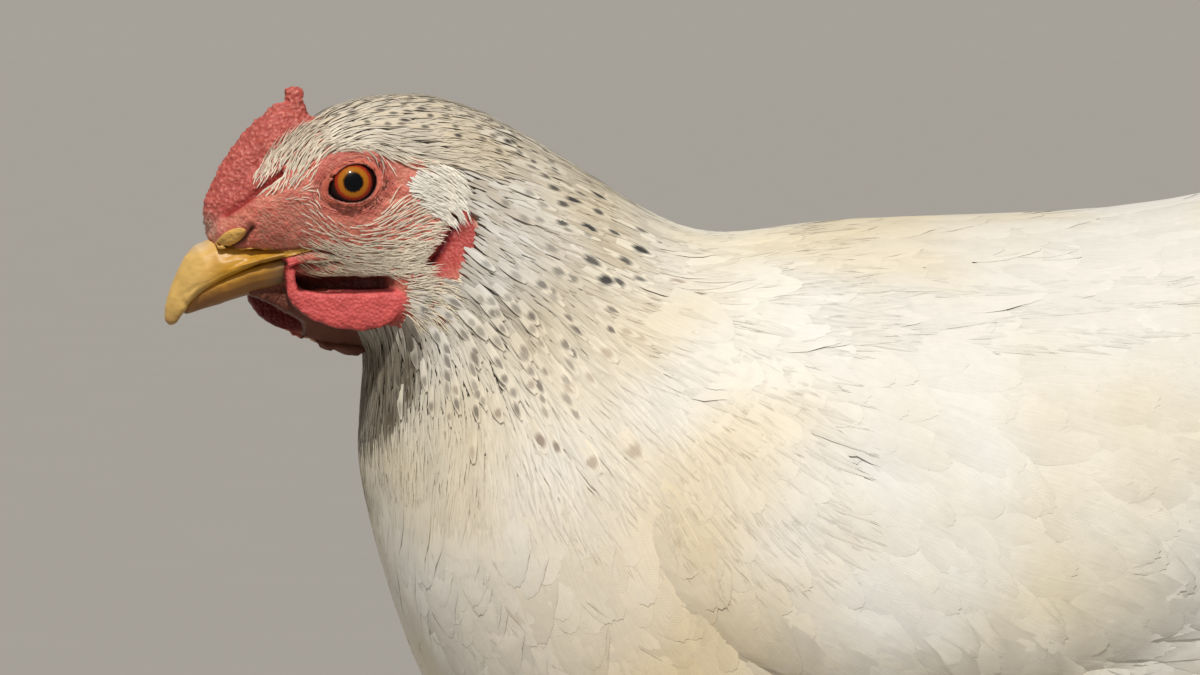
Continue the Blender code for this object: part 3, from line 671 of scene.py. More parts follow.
head_share = smooth_step(forth, -26, -18) * smooth_step(rise, -34, -27) * (points[:, 2] > 0.235)
# How far each wattle's surface turns towards the other wattle, used for painted shade.
inner_side = np.where(from_left < from_right, -1, 1) * (normals @ out)
under_chin = smooth_step(-rise, 19, 22) * (beside < 6.8) * (forth > -24) * (points[:, 2] > 0.24)
crust = np.hypot(forth - 30.6, rise + 8.6)
for colour, share in (
        (FACE_PINK, head_share),
        (tone(196, 84, 76), head_share * (0.38 + 0.6 * creases) * 0.8),
        (tone(150, 62, 50), head_share * smooth_step(-rise, 17, 25) * 0.8),
        # Painted highlights: the tops of the face's pebbles are painted paler pink.
        (tone(228, 150, 130), head_share * smooth_step(pebbles, 0.7, 1.0) * 0.35),
        (RED, on_comb),
        # Painted shade between the comb's pebbles, and painted highlights on their tops.
        (DEEP_RED, on_comb * (1 - pebbles) * 0.55),
        (tone(236, 158, 142), on_comb * smooth_step(pebbles, 0.7, 1.0) * 0.55),
        (WATTLE_RED, on_wattle),
        # Painted shade: the faces of the two wattles that turn towards each other are painted near black-red.
        (tone(88, 24, 24), on_wattle * smooth_step(inner_side, -0.6, -0.1) * 0.9),
        # Painted shade in the deep hollow between each cheek and its wattle.
        (tone(70, 15, 15), under_cheek * 0.9),
        # Red-brown bare skin under the chin, painted darker still as painted shade of the head.
        (tone(98, 50, 32), under_chin * (1 - 0.8 * on_wattle) * 0.95),
        (tone(180, 74, 67), on_lobe),
        # Painted shade: the slit of each lobe, the groove under the comb, the slit under the nostril's scale
        # and the folds by the gape are painted dark.
        (tone(104, 18, 22), 1.2 * ridge(lobe_slit, 1.0) * (beside > 12)),
        (DEEP_RED, ridge(groove, 0.9) * (beside > 3) * head_share),
        (tone(70, 28, 22), ridge(slit, 0.5) * (beside > 2) * head_share),
        (DEEP_RED, ridge(fold, 0.6) * (beside > 8) * head_share),
        (tone(204, 100, 78), ridge(lids, 0.12, 1.16) * 0.85),
        # Painted shade in the crease round the ring of the lids.
        (tone(104, 34, 28), ridge(lids, 0.06, 1.37) * 0.7),
        (tone(150, 52, 46), ridge(lids, 0.12, 1.62) * 0.6),
        # Painted shade inside the edge of the lids, where the skin turns in towards the eye.
        (tone(52, 22, 18), 1 - smooth_step(lids, 1.01, 1.06)),
        (tone(190, 176, 160), ridge(crust, 2.6) * (0.5 + 0.8 * pebbles))):
    tints = wash(tints, colour, share)
inside, dark, brown = flecks_at(points)
fleck_share = smooth_step(inside, 0.35, 0.65) * dark * smooth_step(coat_depth(points), 1.0, 3.0)
fleck_tones = wash(np.tile(np.array(tone(70, 66, 62)), (len(points), 1)), tone(150, 116, 92), brown)
tints = tints * (1 - 0.6 * fleck_share[:, None]) + fleck_tones * 0.6 * fleck_share[:, None]
tints = wash(tints, LEG_YELLOW, 1 - smooth_step(height, 96, 100))
tints = wash(tints, tone(236, 214, 160),
             (on_shank * facing_front + on_toe) * smooth_step(plate, 0.0, 0.25) * 0.45)
tints[:, 3] = 1.0
store(skin.data, "Tint", tints)
store(skin.data, "FromLids", lids)
store(skin.data, "Zone", np.stack([on_comb, plain_face + on_wattle + on_lobe + on_comb,
                                   1 - smooth_step(height, 94, 100), np.ones(len(points))], 1))
skin.data.polygons.foreach_set("use_smooth", np.ones(len(skin.data.polygons), bool))


def stored(tree, name, output="Color"):
    """What the mesh keeps at each point under this name."""
    return put(tree, "ShaderNodeAttribute", attribute_name=name).outputs[output]


def reckon(tree, operation, *terms):
    return put(tree, "ShaderNodeMath", dict(enumerate(terms)), operation=operation).outputs[0]


def span(tree, value, low, high, start=0.0, end=1.0):
    """Goes from low to high as value goes from start to end."""
    return put(tree, "ShaderNodeMapRange", {0: value, 1: start, 2: end, 3: low, 4: high}).outputs[0]


skin_finish, tree, shader = start_material("hen_skin")
where = own_places(tree)
zone = put(tree, "ShaderNodeSeparateColor", {0: stored(tree, "Zone")})
mottled = put(tree, "ShaderNodeVectorMath", {
    0: stored(tree, "Tint"), "Scale": span(tree, clouds(tree, where, 260.0, 5.0), 0.78, 1.2)},
    operation="SCALE")
grains = put(tree, "ShaderNodeTexVoronoi", {"Vector": where, "Scale": 1350.0})
wrinkles = clouds(tree, where, 900.0, 4.0)
relief = put(tree, "ShaderNodeMix", {"Factor": zone.outputs["Green"], 2: wrinkles,
                                     3: grains.outputs["Distance"]}).outputs[0]
# Fine wrinkles run round the lids.
from_lids = stored(tree, "FromLids", "Fac")
wavy = reckon(tree, "MULTIPLY_ADD", wrinkles, 5.0, reckon(tree, "MULTIPLY", from_lids, 52.0))
relief = reckon(tree, "MULTIPLY_ADD", reckon(tree, "SINE", wavy),
                span(tree, from_lids, 0.0, 0.26, 2.0, 1.4), relief)
bump = put(tree, "ShaderNodeBump", {"Height": relief, "Strength": 0.5, "Distance": 0.0005})
wire(shader, {"Base Color": mottled.outputs[0], "Normal": bump.outputs[0],
              "Roughness": span(tree, wrinkles, 0.42, 0.68), "Subsurface Weight": 0.12,
              "Subsurface Radius": (1.0, 0.25, 0.15), "Subsurface Scale": 0.0015,
              "Specular IOR Level": 0.4})
skin.data.materials.append(skin_finish)
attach(skin, "root")
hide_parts(*FLESH)

# ---- Eyes ----------------------------------------------------------------------------------------
# A wet, dark-rimmed eyeball on each side of the head: a black pupil in an amber iris that turns
# red-brown outwards. It sits in its socket behind the ring of the lids.

EYE_SEGMENTS, EYE_RINGS = 64, 48
CORNEA_BULGE = 0.45   # mm that the clear front stands out of the ball
GAZE_AHEAD, GAZE_UP = 0.13, 0.12     # how far forward and up each eye looks


def unit_vector(vector):
    return vector / np.linalg.norm(vector)


iris_finish, tree, shader = start_material("eye_amber")
iris_map = put(tree, "ShaderNodeUVMap", uv_map="Iris").outputs[0]
centred = put(tree, "ShaderNodeVectorMath", {0: iris_map, 1: (0.5, 0.5, 0)},
              operation="SUBTRACT").outputs[0]
radius = put(tree, "ShaderNodeVectorMath", {0: centred}, operation="LENGTH").outputs["Value"]
uneven = reckon(tree, "MULTIPLY_ADD", clouds(tree, centred, 34.0, 4.0), 0.03, radius)
# Red comes further in above the pupil, amber further out below it.
heights = put(tree, "ShaderNodeSeparateXYZ", {0: centred})
uneven = reckon(tree, "MULTIPLY_ADD", heights.outputs["Y"], 0.13, uneven)
rings = put(tree, "ShaderNodeValToRGB", {0: uneven})
# Distance from the pupil's middle, as a share of the ball's width, and the colour there.
stops = [(0.0, tone(5, 7, 12)), (0.104, tone(6, 7, 10)), (0.114, tone(104, 60, 14)),
         (0.124, tone(162, 102, 22)), (0.160, tone(168, 98, 24)), (0.178, tone(154, 50, 25)),
         (0.203, tone(130, 37, 21)), (0.217, tone(44, 18, 12)), (0.26, tone(22, 12, 10)),
         (1.0, tone(40, 24, 20))]
ramp = rings.color_ramp
while len(ramp.elements) < len(stops):
    ramp.elements.new(0.5)
for element, (place, colour) in zip(ramp.elements, stops):
    element.position, element.color = place, colour
wire(shader, {"Base Color": rings.outputs["Color"], "Roughness": 0.3, "Specular IOR Level": 0.05,
              "Coat Weight": 0.2, "Coat Roughness": 0.03})
for side, sign in (("left", 1), ("right", -1)):
    middle = eye_middle(side)
    low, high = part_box("eye_" + side)
    ball_radius = (high[2] - low[2]) / 2
    bpy.ops.mesh.primitive_uv_sphere_add(segments=EYE_SEGMENTS, ring_count=EYE_RINGS,
                                         radius=ball_radius, location=(0, 0, 0))
    ball = bpy.context.object
    ball.name = ball.data.name = f"eyeball_{side}"
    points = points_of(ball)
    gaze = unit_vector(out * sign + GAZE_AHEAD * ahead + GAZE_UP * upwards)
    facing = points @ gaze / ball_radius
    front = np.clip((facing - 0.80) / 0.2, 0, 1)
    points = points * (1 + CORNEA_BULGE * MM / ball_radius * front * (2 - front))[:, None]
    across_gaze = unit_vector(ahead - (ahead @ gaze) * gaze)
    facing = points @ gaze / np.linalg.norm(points, axis=1)
    flat = np.stack([points @ across_gaze, points @ np.cross(across_gaze, gaze) * -sign], 1) / ball_radius
    flat = flat / np.maximum(np.linalg.norm(flat, axis=1), 1e-9)[:, None] * (
        np.arccos(np.clip(facing, -1, 1)) / math.pi)[:, None]
    move_points(ball, points + middle)
    layer = ball.data.uv_layers[0]
    layer.name = "Iris"
    corners = read(ball.data.loops, "vertex_index", 1, np.int32)[:, 0]
    layer.data.foreach_set("uv", (0.5 + flat[corners] * 1.15).ravel())
    pick(ball)
    bpy.ops.object.shade_smooth()
    ball.data.materials.append(iris_finish)
    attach(ball, "root")
    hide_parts("eye_" + side)

# ---- Beak ----------------------------------------------------------------------------------------
# Ochre horn, hooked over at the tip, in thin layers that flake near the edges, and a small domed
# scale of the same horn that roofs each nostril. It is set in the bare skin of the face.

HORN_GRAIN = 0.33 * MM
BEAK_SWELL = {"beak_upper": 0.28, "beak_lower": 0.55}   # mm, so that the closed halves meet


def horn_layers():
    """Fine growth lines and stains that beak and claws share."""
    group = bpy.data.node_groups.new("horn_layers", "ShaderNodeTree")
    face = group.interface
    face.new_socket("Vector", in_out="INPUT", socket_type="NodeSocketVector")
    face.new_socket("Tint", in_out="INPUT", socket_type="NodeSocketColor")
    face.new_socket("Color", in_out="OUTPUT", socket_type="NodeSocketColor")
    face.new_socket("Height", in_out="OUTPUT", socket_type="NodeSocketFloat")
    given = put(group, "NodeGroupInput")
    drawn_out = put(group, "ShaderNodeMapping", {"Vector": given.outputs["Vector"],
                                                 "Scale": (1.0, 0.35, 1.3)})
    streaks = put(group, "ShaderNodeTexNoise", {"Vector": drawn_out.outputs[0], "Scale": 900.0,
                                                "Detail": 5.0, "Roughness": 0.6})
    stains = clouds(group, given.outputs["Vector"], 190.0, 3.0)
    shade = reckon(group, "MULTIPLY", span(group, streaks.outputs["Fac"], 0.86, 1.12),
                   span(group, stains, 0.84, 1.1, 0.35, 0.7))
    shaded = put(group, "ShaderNodeVectorMath", {0: given.outputs["Tint"], "Scale": shade},
                 operation="SCALE")
    put(group, "NodeGroupOutput", {"Color": shaded.outputs[0], "Height": streaks.outputs["Fac"]})
    return group


horn_group = horn_layers()


def wire_horn(tree, shader, tint, bump_size):
    layers = put(tree, "ShaderNodeGroup", {"Vector": own_places(tree), "Tint": tint}, node_tree=horn_group)
    bump = put(tree, "ShaderNodeBump", {"Height": layers.outputs["Height"], "Strength": 0.3,
                                        "Distance": bump_size})
    wire(shader, {"Base Color": layers.outputs["Color"], "Normal": bump.outputs[0],
                  "Roughness": span(tree, layers.outputs["Height"], 0.36, 0.54)})


def reshape(obj, points):
    """Moves a form's points, and gives its new normals and the points' places on the head."""
    move_points(obj, points)
    return normals_of(obj), *on_head(points)


beak_finish, tree, shader = start_material("beak_horn_layers")
wire_horn(tree, shader, stored(tree, "Tint"), 0.0003)
wire(shader, {"Coat Weight": 0.2, "Coat Roughness": 0.5})
skin_tree = surface_tree(skin)
for half in ("beak_upper", "beak_lower"):
    horn = grow_together([welded_copy(half)], half + "_horn", HORN_GRAIN, BEAK_SWELL[half] * MM)
    points, edges = points_of(horn), edges_of(horn)
    points = rub_smooth(points, edges, 7, np.full(len(points), 0.7))
    normals, forth, rise, across = reshape(horn, points)
    push = np.array([noise.fractal(Vector(p) / MM * Vector((0.5, 0.22, 0.6)), 1.0, 2.0, 3)
                     for p in points]) * 0.08
    # The mouth line lies high at the back, and the upper half reaches back in a narrow strip.
    mouth = np.interp(forth, (10, 14.8, 24.0, 31.4, 36), (-15.4, -16.6, -19.9, -24.2, -28))
    lift = np.interp(forth, (8, 14.8, 24.0, 31.4, 33.5, 35.5), (1.5, 1.5, 1.6, 2.0, 1.0, 0))
    above = rise - mouth
    if half == "beak_upper":
        points[:, 2] += lift * (1 - smooth_step(above, 0.0, 4.5)) * MM
        strip = 1 - smooth_step(forth, 10.5, 19.0)
        points -= (2.6 * strip * MM)[:, None] * ahead
        points[:, 2] += 0.6 * strip * MM
    else:
        points[:, 2] += lift * smooth_step(above, -4.0, -0.6) * MM
    normals, forth, rise, across = reshape(horn, points)
    if half == "beak_upper":
        for index in np.flatnonzero((forth < 27.5) & (np.abs(across) > 3) & (rise > -17)):
            sign = math.copysign(1, across[index])
            start = points[index] + sign * (30 - abs(across[index])) * MM * out
            spot = skin_tree.ray_cast(Vector(start), Vector(-sign * out))[0]
            if spot is not None and (normals[index] @ out) * sign > 0.2:
                edge = np.interp(forth[index], *HORN_EDGE)
                beyond = (np.array(spot) - points[index]) @ out * sign / MM
                shown = 0.5 if rise[index] < edge + 0.5 else -0.6
                points[index] += sign * np.clip(beyond + shown, -3 if shown < 0 else 0, 4) * MM * out
        points = rub_smooth(points, edges, 3, np.clip((24 - forth) / 4, 0, 1) * 0.6)
        normals, forth, rise, across = reshape(horn, points)
        rim, _ = from_line(forth, rise, (33.5, -23.4), (20.0, -15.6))
        push -= 0.22 * ridge(rim, 0.5, 1.3)
        colours = np.tile(np.array(tone(204, 154, 68)), (len(points), 1))
        colours = wash(colours, tone(214, 176, 100), smooth_step(forth, 22, 34) * 0.8)
        colours = wash(colours, tone(196, 142, 26),
                       smooth_step(-rise, 11, 16) * (1 - smooth_step(forth, 25, 32)))
        colours = wash(colours, tone(196, 186, 170), ridge(np.hypot(forth - 31.5, rise + 10.5), 2.4))
        colours = wash(colours, tone(176, 120, 72), smooth_step(-rise, 26, 29) * 0.5)
    else:
        colours = np.tile(np.array(tone(190, 136, 36)), (len(points), 1))
        # Painted shade: the lower half is painted browner where its surface faces down.
        colours = wash(colours, tone(150, 98, 32), smooth_step(-normals[:, 2], -0.1, 0.6))
        colours = wash(colours, tone(132, 84, 34), smooth_step(forth, 24, 32) * 0.6)
        colours = wash(colours, tone(128, 104, 76), 1 - smooth_step(forth, 12, 19))
    points = points + normals * (push * MM)[:, None]
    move_points(horn, points)
    colours[:, 3] = 1.0
    store(horn.data, "Tint", colours)
    pick(horn)
    bpy.ops.object.shade_smooth()
    horn.data.materials.append(beak_finish)
    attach(horn, "root")
    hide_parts(half)

# The scale over each nostril, draped on the skin and doubled back under its rim.
SCALE_MIDDLE, SCALE_LONG, SCALE_HIGH, SCALE_THICK = (25.0, -10.7), 3.3, 1.6, 0.62
for side, sign in (("left", 1), ("right", -1)):
    bpy.ops.mesh.primitive_uv_sphere_add(segments=40, ring_count=24, radius=1.0, location=(0, 0, 0))
    scale = bpy.context.object
    scale.name = scale.data.name = f"nostril_scale_{side}"
    points = points_of(scale)
    wide, tall = points[:, 0] * SCALE_LONG, points[:, 1] * SCALE_HIGH - 0.3 * points[:, 0] ** 2 + 0.15
    turn = math.radians(34)
    forth = SCALE_MIDDLE[0] + wide * math.cos(turn) + tall * math.sin(turn)
    rise = SCALE_MIDDLE[1] - wide * math.sin(turn) + tall * math.cos(turn)
    placed = np.empty_like(points)
    for index in range(len(points)):
        start = head_middle + MM * (forth[index] * ahead + rise[index] * upwards + sign * 30 * out)
        spot = skin_tree.ray_cast(Vector(start), Vector(-sign * out))[0]
        spot = np.array(spot) if spot else start - sign * 24 * MM * out
        placed[index] = spot + sign * out * (0.2 + SCALE_THICK * points[index, 2]) * MM
    move_points(scale, placed)
    store(scale.data, "Tint", np.tile(np.array(tone(214, 166, 84)), (len(points), 1)))
    edit_whole(scale, FACE_OUT)
    bpy.ops.object.shade_smooth()
    scale.data.materials.append(beak_finish)
    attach(scale, "root")

# ---- Claws ---------------------------------------------------------------------------------------
# Blunt curved claws of grey-brown horn, worn by scratching, one on the end of each toe.

claw_finish, tree, shader = start_material("claw_horn_worn")
wire_horn(tree, shader, tone(176, 142, 96), 0.0002)
for name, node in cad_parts.items():
    if name.startswith("claw_"):
        for material_slot in node.material_slots:
            material_slot.material = claw_finish

# ---- Coat: how it lies ---------------------------------------------------------------------------
# Feathers run from the beak back over the head, down the neck and breast, and back along the body
# to the tail. Each is a thin vane rooted in the skin that rises to the outside of the coat.

COATED = ["head", "neck", "trunk", "tail", "wing_left", "wing_right", "thigh_left", "thigh_right"]
envelope = grow_together([welded_copy(node) for node in COATED], "coat_outside", 2.0 * MM, SWELL)
points, edges = points_of(envelope), edges_of(envelope)
points = rub_smooth(points, edges, 5, np.ones(len(points)))
move_points(envelope, points)
coat_tree = surface_tree(envelope)
vertex_normals = normals_of(envelope)
face_corners = read(envelope.data.polygons, "vertices", 4, np.int32)
soft_normals = vertex_normals[face_corners].mean(axis=1)
soft_normals /= np.linalg.norm(soft_normals, axis=1)[:, None]
face_middles = points[face_corners].mean(axis=1)
face_sizes = read(envelope.data.polygons, "area", 1)[:, 0]


def unit(vectors):
    return vectors / np.maximum(np.linalg.norm(vectors, axis=1), 1e-9)[:, None]


def settle(places, guide):
    """The nearest places on the outside of the coat or on the bare skin, and the way out of it there."""
    tree, way_out = guide
    spots, outs = np.empty_like(places), np.empty_like(places)
    for index, place in enumerate(places):
        spot, _, face, _ = tree.find_nearest(place)
        spots[index], outs[index] = spot, way_out[face]
    return spots, outs


COAT_GUIDE = (coat_tree, soft_normals)
skin_corners = read(skin.data.polygons, "vertices", 3, np.int32)
_, skin_outs = settle(points_of(skin)[skin_corners].mean(axis=1), COAT_GUIDE)
SKIN_GUIDE = (surface_tree(skin), skin_outs)


def lie_of_coat(places, outs):
    """The way that the coat points at each place."""
    down = down_angle(places[:, 1:] / MM)
    ways = np.stack([np.zeros(len(places)), np.cos(down), -np.sin(down)], axis=1)
    # On the head it parts round the eye, as water does round a stone.
    forth, rise, _ = on_head(places)
    forth, rise = forth - LIDS_AHEAD, rise - LIDS_UP
    away = np.maximum(forth ** 2 + rise ** 2, 36.0)
    stone = 60.0 / away ** 2
    along = -(1 - stone * (forth ** 2 - rise ** 2))
    over = 2 * stone * forth * rise
    over = over + 1.5 * ridge(forth, 5.5, 15.5) * smooth_step(rise, -6, 2)
    round_eye = along[:, None] * ahead + over[:, None] * upwards
    on_face = (smooth_step(forth, -24, -12) * smooth_step(rise, -34, -20))[:, None]
    ways = ways * (1 - on_face) + round_eye * on_face
    ways = ways - (ways * outs).sum(axis=1)[:, None] * outs
    return unit(ways)


def scatter(spacing, tries, seed):
    """Root places spread evenly over the coat, spacing(places) mm apart; none where that is 0."""
    rng = np.random.default_rng(seed)
    gaps = spacing(face_middles)
    weights = np.where(gaps > 0, face_sizes / np.maximum(gaps, 0.2) ** 2, 0)
    faces = rng.choice(len(face_middles), tries, p=weights / weights.sum())
    corners = points_of(envelope)[face_corners[faces]]
    u, v = rng.random((2, tries, 1))
    places = ((1 - u) * (1 - v) * corners[:, 0] + u * (1 - v) * corners[:, 1]
              + u * v * corners[:, 2] + (1 - u) * v * corners[:, 3])
    gaps = spacing(places)
    kd = KDTree(tries)
    for index, place in enumerate(places):
        kd.insert(place, index)
    kd.balance()
    taken, kept = np.zeros(tries, bool), []
    for index in range(tries):
        if taken[index] or gaps[index] <= 0:
            continue
        kept.append(index)
        for _, other, _ in kd.find_range(places[index], gaps[index] * MM):
            taken[other] = True
    return places[kept]


# Apart from its bare parts, the skin is kept some way under the outside of the coat.
LEAST_COAT, THIN_COAT, HOCK_HEIGHT = 1.3, 1.2, 98 * MM   # mm over covered skin, mm at its rim, m
points = points_of(skin)
covered = np.flatnonzero((coat_depth(points) > THIN_COAT) & (points[:, 2] > HOCK_HEIGHT)
                         & (on_head(points)[0] < -26))
outside, outs_there = settle(points[covered], COAT_GUIDE)
short = np.clip(LEAST_COAT - ((outside - points[covered]) * outs_there).sum(axis=1) / MM, 0, 2.5)
points[covered] -= outs_there * (short * MM)[:, None]
move_points(skin, points)

# A flat pattern of the skin, cut out and laid flat, gives each feather its own patch for baking.
PATTERN_FACES, PATCH = 5000, 0.003   # how many faces it has, and the side of a patch as a share of the map
flat_skin = skin.copy()
flat_skin.data = skin.data.copy()
scene.collection.objects.link(flat_skin)
flat_skin.parent = None
apply_modifier(flat_skin, "DECIMATE", ratio=min(1.0, PATTERN_FACES / len(flat_skin.data.polygons)))
edit_whole(flat_skin, (bpy.ops.uv.smart_project, {"angle_limit": math.radians(70),
                                                  "island_margin": 0.004}))
pattern_tree = surface_tree(flat_skin)
pattern = []
flat_layer = flat_skin.data.uv_layers.active.data
for polygon in flat_skin.data.polygons:
    pattern.append(([flat_skin.data.vertices[v].co.copy() for v in polygon.vertices[:3]],
                    [flat_layer[loop].uv.copy() for loop in polygon.loop_indices][:3]))


def patch_places(roots):
    """Where each root lies on the flat pattern of the skin."""
    places = np.empty((len(roots), 2))
    for index, root in enumerate(roots):
        spot, _, face, _ = pattern_tree.find_nearest(root)
        (a, b, c), (uv_a, uv_b, uv_c) = pattern[face]
        ab, ac, ap = b - a, c - a, spot - a
        d00, d01, d11 = ab.dot(ab), ab.dot(ac), ac.dot(ac)
        d20, d21 = ap.dot(ab), ap.dot(ac)
        bottom = d00 * d11 - d01 * d01 or 1e-12
        v = (d11 * d20 - d01 * d21) / bottom
        w = (d00 * d21 - d01 * d20) / bottom
        places[index] = uv_a * (1 - v - w) + uv_b * v + uv_c * w
    return places


def vane_mesh(name, spots, ways, outs, widths, sinks, outline, rounding, fingers, tints,
              flecks, columns, seed, drops=None):
    """Builds one piece of many vanes. spots, ways and outs hold a row of places for each step from
    root to tip; outline is the share of the width at each step; fingers is how far the frayed tip
    reaches on, in mm; sinks is how deep each step lies under the outside of the coat, in mm; flecks
    gives each vane's dark fleck: its half length and half width as shares of the vane, and its tone;
    drops is how far each side of each step bends down to follow the coat, in m."""
    rng = np.random.default_rng(seed)
    steps, count = len(spots) - 1, spots[0].shape[0]
    lines = np.linspace(-1, 1, columns + 1)
    rows = []
    sag = (lines ** 2)[None, :, None]
    for step in range(steps + 1):
        along = step / steps
        aside = np.cross(outs[step], ways[step])
        half = (widths * outline[step] / 2 * MM)[:, None, None]
        bend = half ** 2 / 0.11 if drops is None else np.where(
            lines[None, :, None] < 0, drops[step][0][:, None, None], drops[step][1][:, None, None])
        place = (spots[step][:, None, :] + aside[:, None, :] * lines[None, :, None] * half
                 - ways[step][:, None, :] * sag * (rounding * along * MM)[:, None, None]
                 - outs[step][:, None, :] * (sinks[step][:, None, None] * MM + sag * bend))
        rows.append(place)
    tips = (rows[-1][:, :-1] + rows[-1][:, 1:]) / 2
    reach = (fingers[:, None] * rng.uniform(0.35, 1.0, (count, columns)) * MM)[:, :, None]
    tips = tips + ways[-1][:, None, :] * reach + outs[-1][:, None, :] * reach * rng.uniform(
        -0.035, 0.005, (count, columns, 1))
    wide = columns + 1
    vertices = np.concatenate([np.stack(rows, 1).reshape(count, -1, 3), tips], axis=1)
    per_vane = vertices.shape[1]
    quads = []
    for step in range(steps):
        for column in range(columns):
            a = step * wide + column
            quads.append((a, a + wide, a + 1 + wide, a + 1))
    last = steps * wide
    ends = [(last + column, (steps + 1) * wide + column, last + column + 1) for column in range(columns)]
    quads, ends = np.array(quads), np.array(ends)
    starts = (np.arange(count) * per_vane)[:, None]
    corner_list = np.concatenate([quads.ravel(), ends.ravel()])
    corners = (starts + corner_list[None, :]).ravel()
    sizes = np.tile(np.concatenate([np.full(len(quads), 4), np.full(len(ends), 3)]), count)
    mesh = bpy.data.meshes.new(name)
    mesh.vertices.add(count * per_vane)
    mesh.vertices.foreach_set("co", vertices.ravel())
    mesh.loops.add(len(corners))
    mesh.loops.foreach_set("vertex_index", corners.astype(np.int32))
    mesh.polygons.add(len(sizes))
    mesh.polygons.foreach_set("loop_start", np.concatenate([[0], np.cumsum(sizes)[:-1]]).astype(np.int32))
    mesh.polygons.foreach_set("use_smooth", np.ones(len(sizes), bool))
    mesh.update(calc_edges=True)
    shading = []
    for step in range(steps + 1):
        aside = np.cross(outs[step], ways[step])
        shading.append(outs[step][:, None, :] + 0.16 * lines[None, :, None] * aside[:, None, :]
                       + 0.10 * (step / steps - 0.5) * ways[step][:, None, :])
    shading.append(np.repeat(outs[-1][:, None, :], columns, axis=1) + 0.1 * ways[-1][:, None, :])
    shading = np.concatenate(shading, axis=1).reshape(-1, 3)
    mesh.normals_split_custom_set_from_vertices(unit(shading))
    along = np.repeat(np.arange(steps + 1) / steps * 0.92, wide)
    along = np.concatenate([along, np.ones(columns)])
    side = np.concatenate([np.tile((lines + 1) / 2, steps + 1), (np.arange(columns) + 0.5) / columns])
    own = np.stack([side, along], 1)
    vane_uv = mesh.uv_layers.new(name="Vane")
    vane_uv.data.foreach_set("uv", np.tile(own[corner_list], (count, 1)).ravel())
    bake_uv = mesh.uv_layers.new(name="OFBake")
    flat = patch_places(spots[0])[:, None, :] + (own[corner_list] - 0.5)[None] * PATCH
    bake_uv.data.foreach_set("uv", flat.ravel())
    fade = 1 - 0.10 * (1 - along) ** 2
    colour = tints[:, None, :] * fade[None, :, None]
    colour[:, :, 3] = 1.0
    store(mesh, "Tint", colour)
    store(mesh, "Mark", np.repeat(np.zeros((count, 4)) if flecks is None else flecks, per_vane, axis=0))
    store(mesh, "Breadth", np.repeat(widths, per_vane))     # of the whole vane, mm
    obj = bpy.data.objects.new(name, mesh)
    scene.collection.objects.link(obj)
    mesh.materials.append(plumage)
    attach(obj, "root")
    return obj


def size_at(places, size):
    """A size at each place: size is one number, a number for each place, or a function of places."""
    return size(places) if callable(size) else np.full(len(places), size, float)


def along_body(size, more, start, end):
    """A size that grows by more from start to end, in mm along the body."""
    return lambda places: size + more * smooth_step(places[:, 1] / MM, start, end)


def behind_head(size, more, start, end):
    """A size that grows by more from start to end, in mm behind the middle of the head."""
    return lambda places: size + more * smooth_step(-on_head(places)[0], start, end)


def one_tone(colour, low=1.0, high=1.0):
    """Tints for lay_coat: one tone, each vane from low to high times as light."""
    def tints(roots, rng):
        colours = np.tile(np.array(colour), (len(roots), 1))
        return colours if low == high else colours * rng.uniform(low, high, len(roots))[:, None]
    return tints


def lay_coat(name, roots, length, width, seed, steps=5, columns=4, depth=None, fingers=0.12,
             stray=5.0, lift=0.0, layers=0.22, profile="round", tint=None, flecks=None, guide=COAT_GUIDE,
             lean=0.0, under=0.0, uneven=0.14, tuck=0.0):
    """Lays feathers from their roots over the outside of the coat, the way the coat lies, leaning
    down from it by so many degrees, and under mm below it. lift raises them towards their tips, and
    tuck lays the very tips down again."""
    rng = np.random.default_rng(seed)
    count = len(roots)
    lengths = size_at(roots, length) * rng.uniform(1 - 0.85 * uneven, 1 + uneven, count)
    widths = size_at(roots, width) * rng.uniform(1 - uneven, 1 + uneven, count)
    swerve = np.radians(rng.normal(0, stray, count) - lean * np.sign(on_head(roots)[2]))
    here, outs_here = settle(roots, guide)
    spots, ways, outs = [], [], []
    before = None
    for step in range(steps + 1):
        way = lie_of_coat(here, outs_here)
        aside = np.cross(outs_here, way)
        way = unit(way * np.cos(swerve)[:, None] + aside * np.sin(swerve)[:, None])
        if before is not None:
            way = unit(way + 0.5 * before)
        spots.append(here)
        ways.append(way)
        outs.append(outs_here)
        before = way
        here, outs_here = settle(here + way * (lengths / steps * MM)[:, None], guide)
    deep = coat_depth(roots) * 0.8 + 0.3 if depth is None else size_at(roots, depth)
    own_layer = rng.uniform(0, layers, count)
    sinks = []
    for step in range(steps + 1):
        along = step / steps
        sinks.append(deep * max(0.0, 1 - along / 0.3) ** 2 + (0.1 + own_layer) * (1 - 0.75 * along)
                     - lift * along * (1 - tuck * max(0.0, along - 0.7) / 0.3) + under)
    shapes = {"round": (0.25, 0.75, 0.97, 1.0, 0.93, 0.62), "point": (0.35, 0.85, 1.0, 0.86, 0.58, 0.2),
              "hair": (0.5, 1.0, 0.95, 0.8, 0.55, 0.2), "spoon": (0.3, 0.7, 0.95, 1.0, 0.9, 0.45)}
    shape = np.interp(np.linspace(0, 1, steps + 1), np.linspace(0, 1, 6), shapes[profile])
    drops = None
    if columns > 2:
        drops = []
        for step in range(steps + 1):
            aside = np.cross(outs[step], ways[step]) * (widths * shape[step] / 2 * MM)[:, None]
            sides = []
            for place in (spots[step] - aside, spots[step] + aside):
                under_it, way_out = settle(place, guide)
                above = ((place - under_it) * way_out).sum(axis=1)
                sides.append(np.clip(above, -0.3 * MM, 2.5 * MM) + 0.08 * MM)
            drops.append(sides)
    colours = (tint or plain_tints)(roots, rng)
    return vane_mesh(name, spots, ways, outs, widths, sinks, shape,
                     widths * (0.35 if profile == "round" else 0.1), lengths * fingers, colours,
                     flecks, columns, seed + 1, drops)


WHITE_TIP = tone(238, 237, 233)
WARM_GREY = tone(178, 166, 148)
HEAD_WHITE = tone(236, 226, 207)


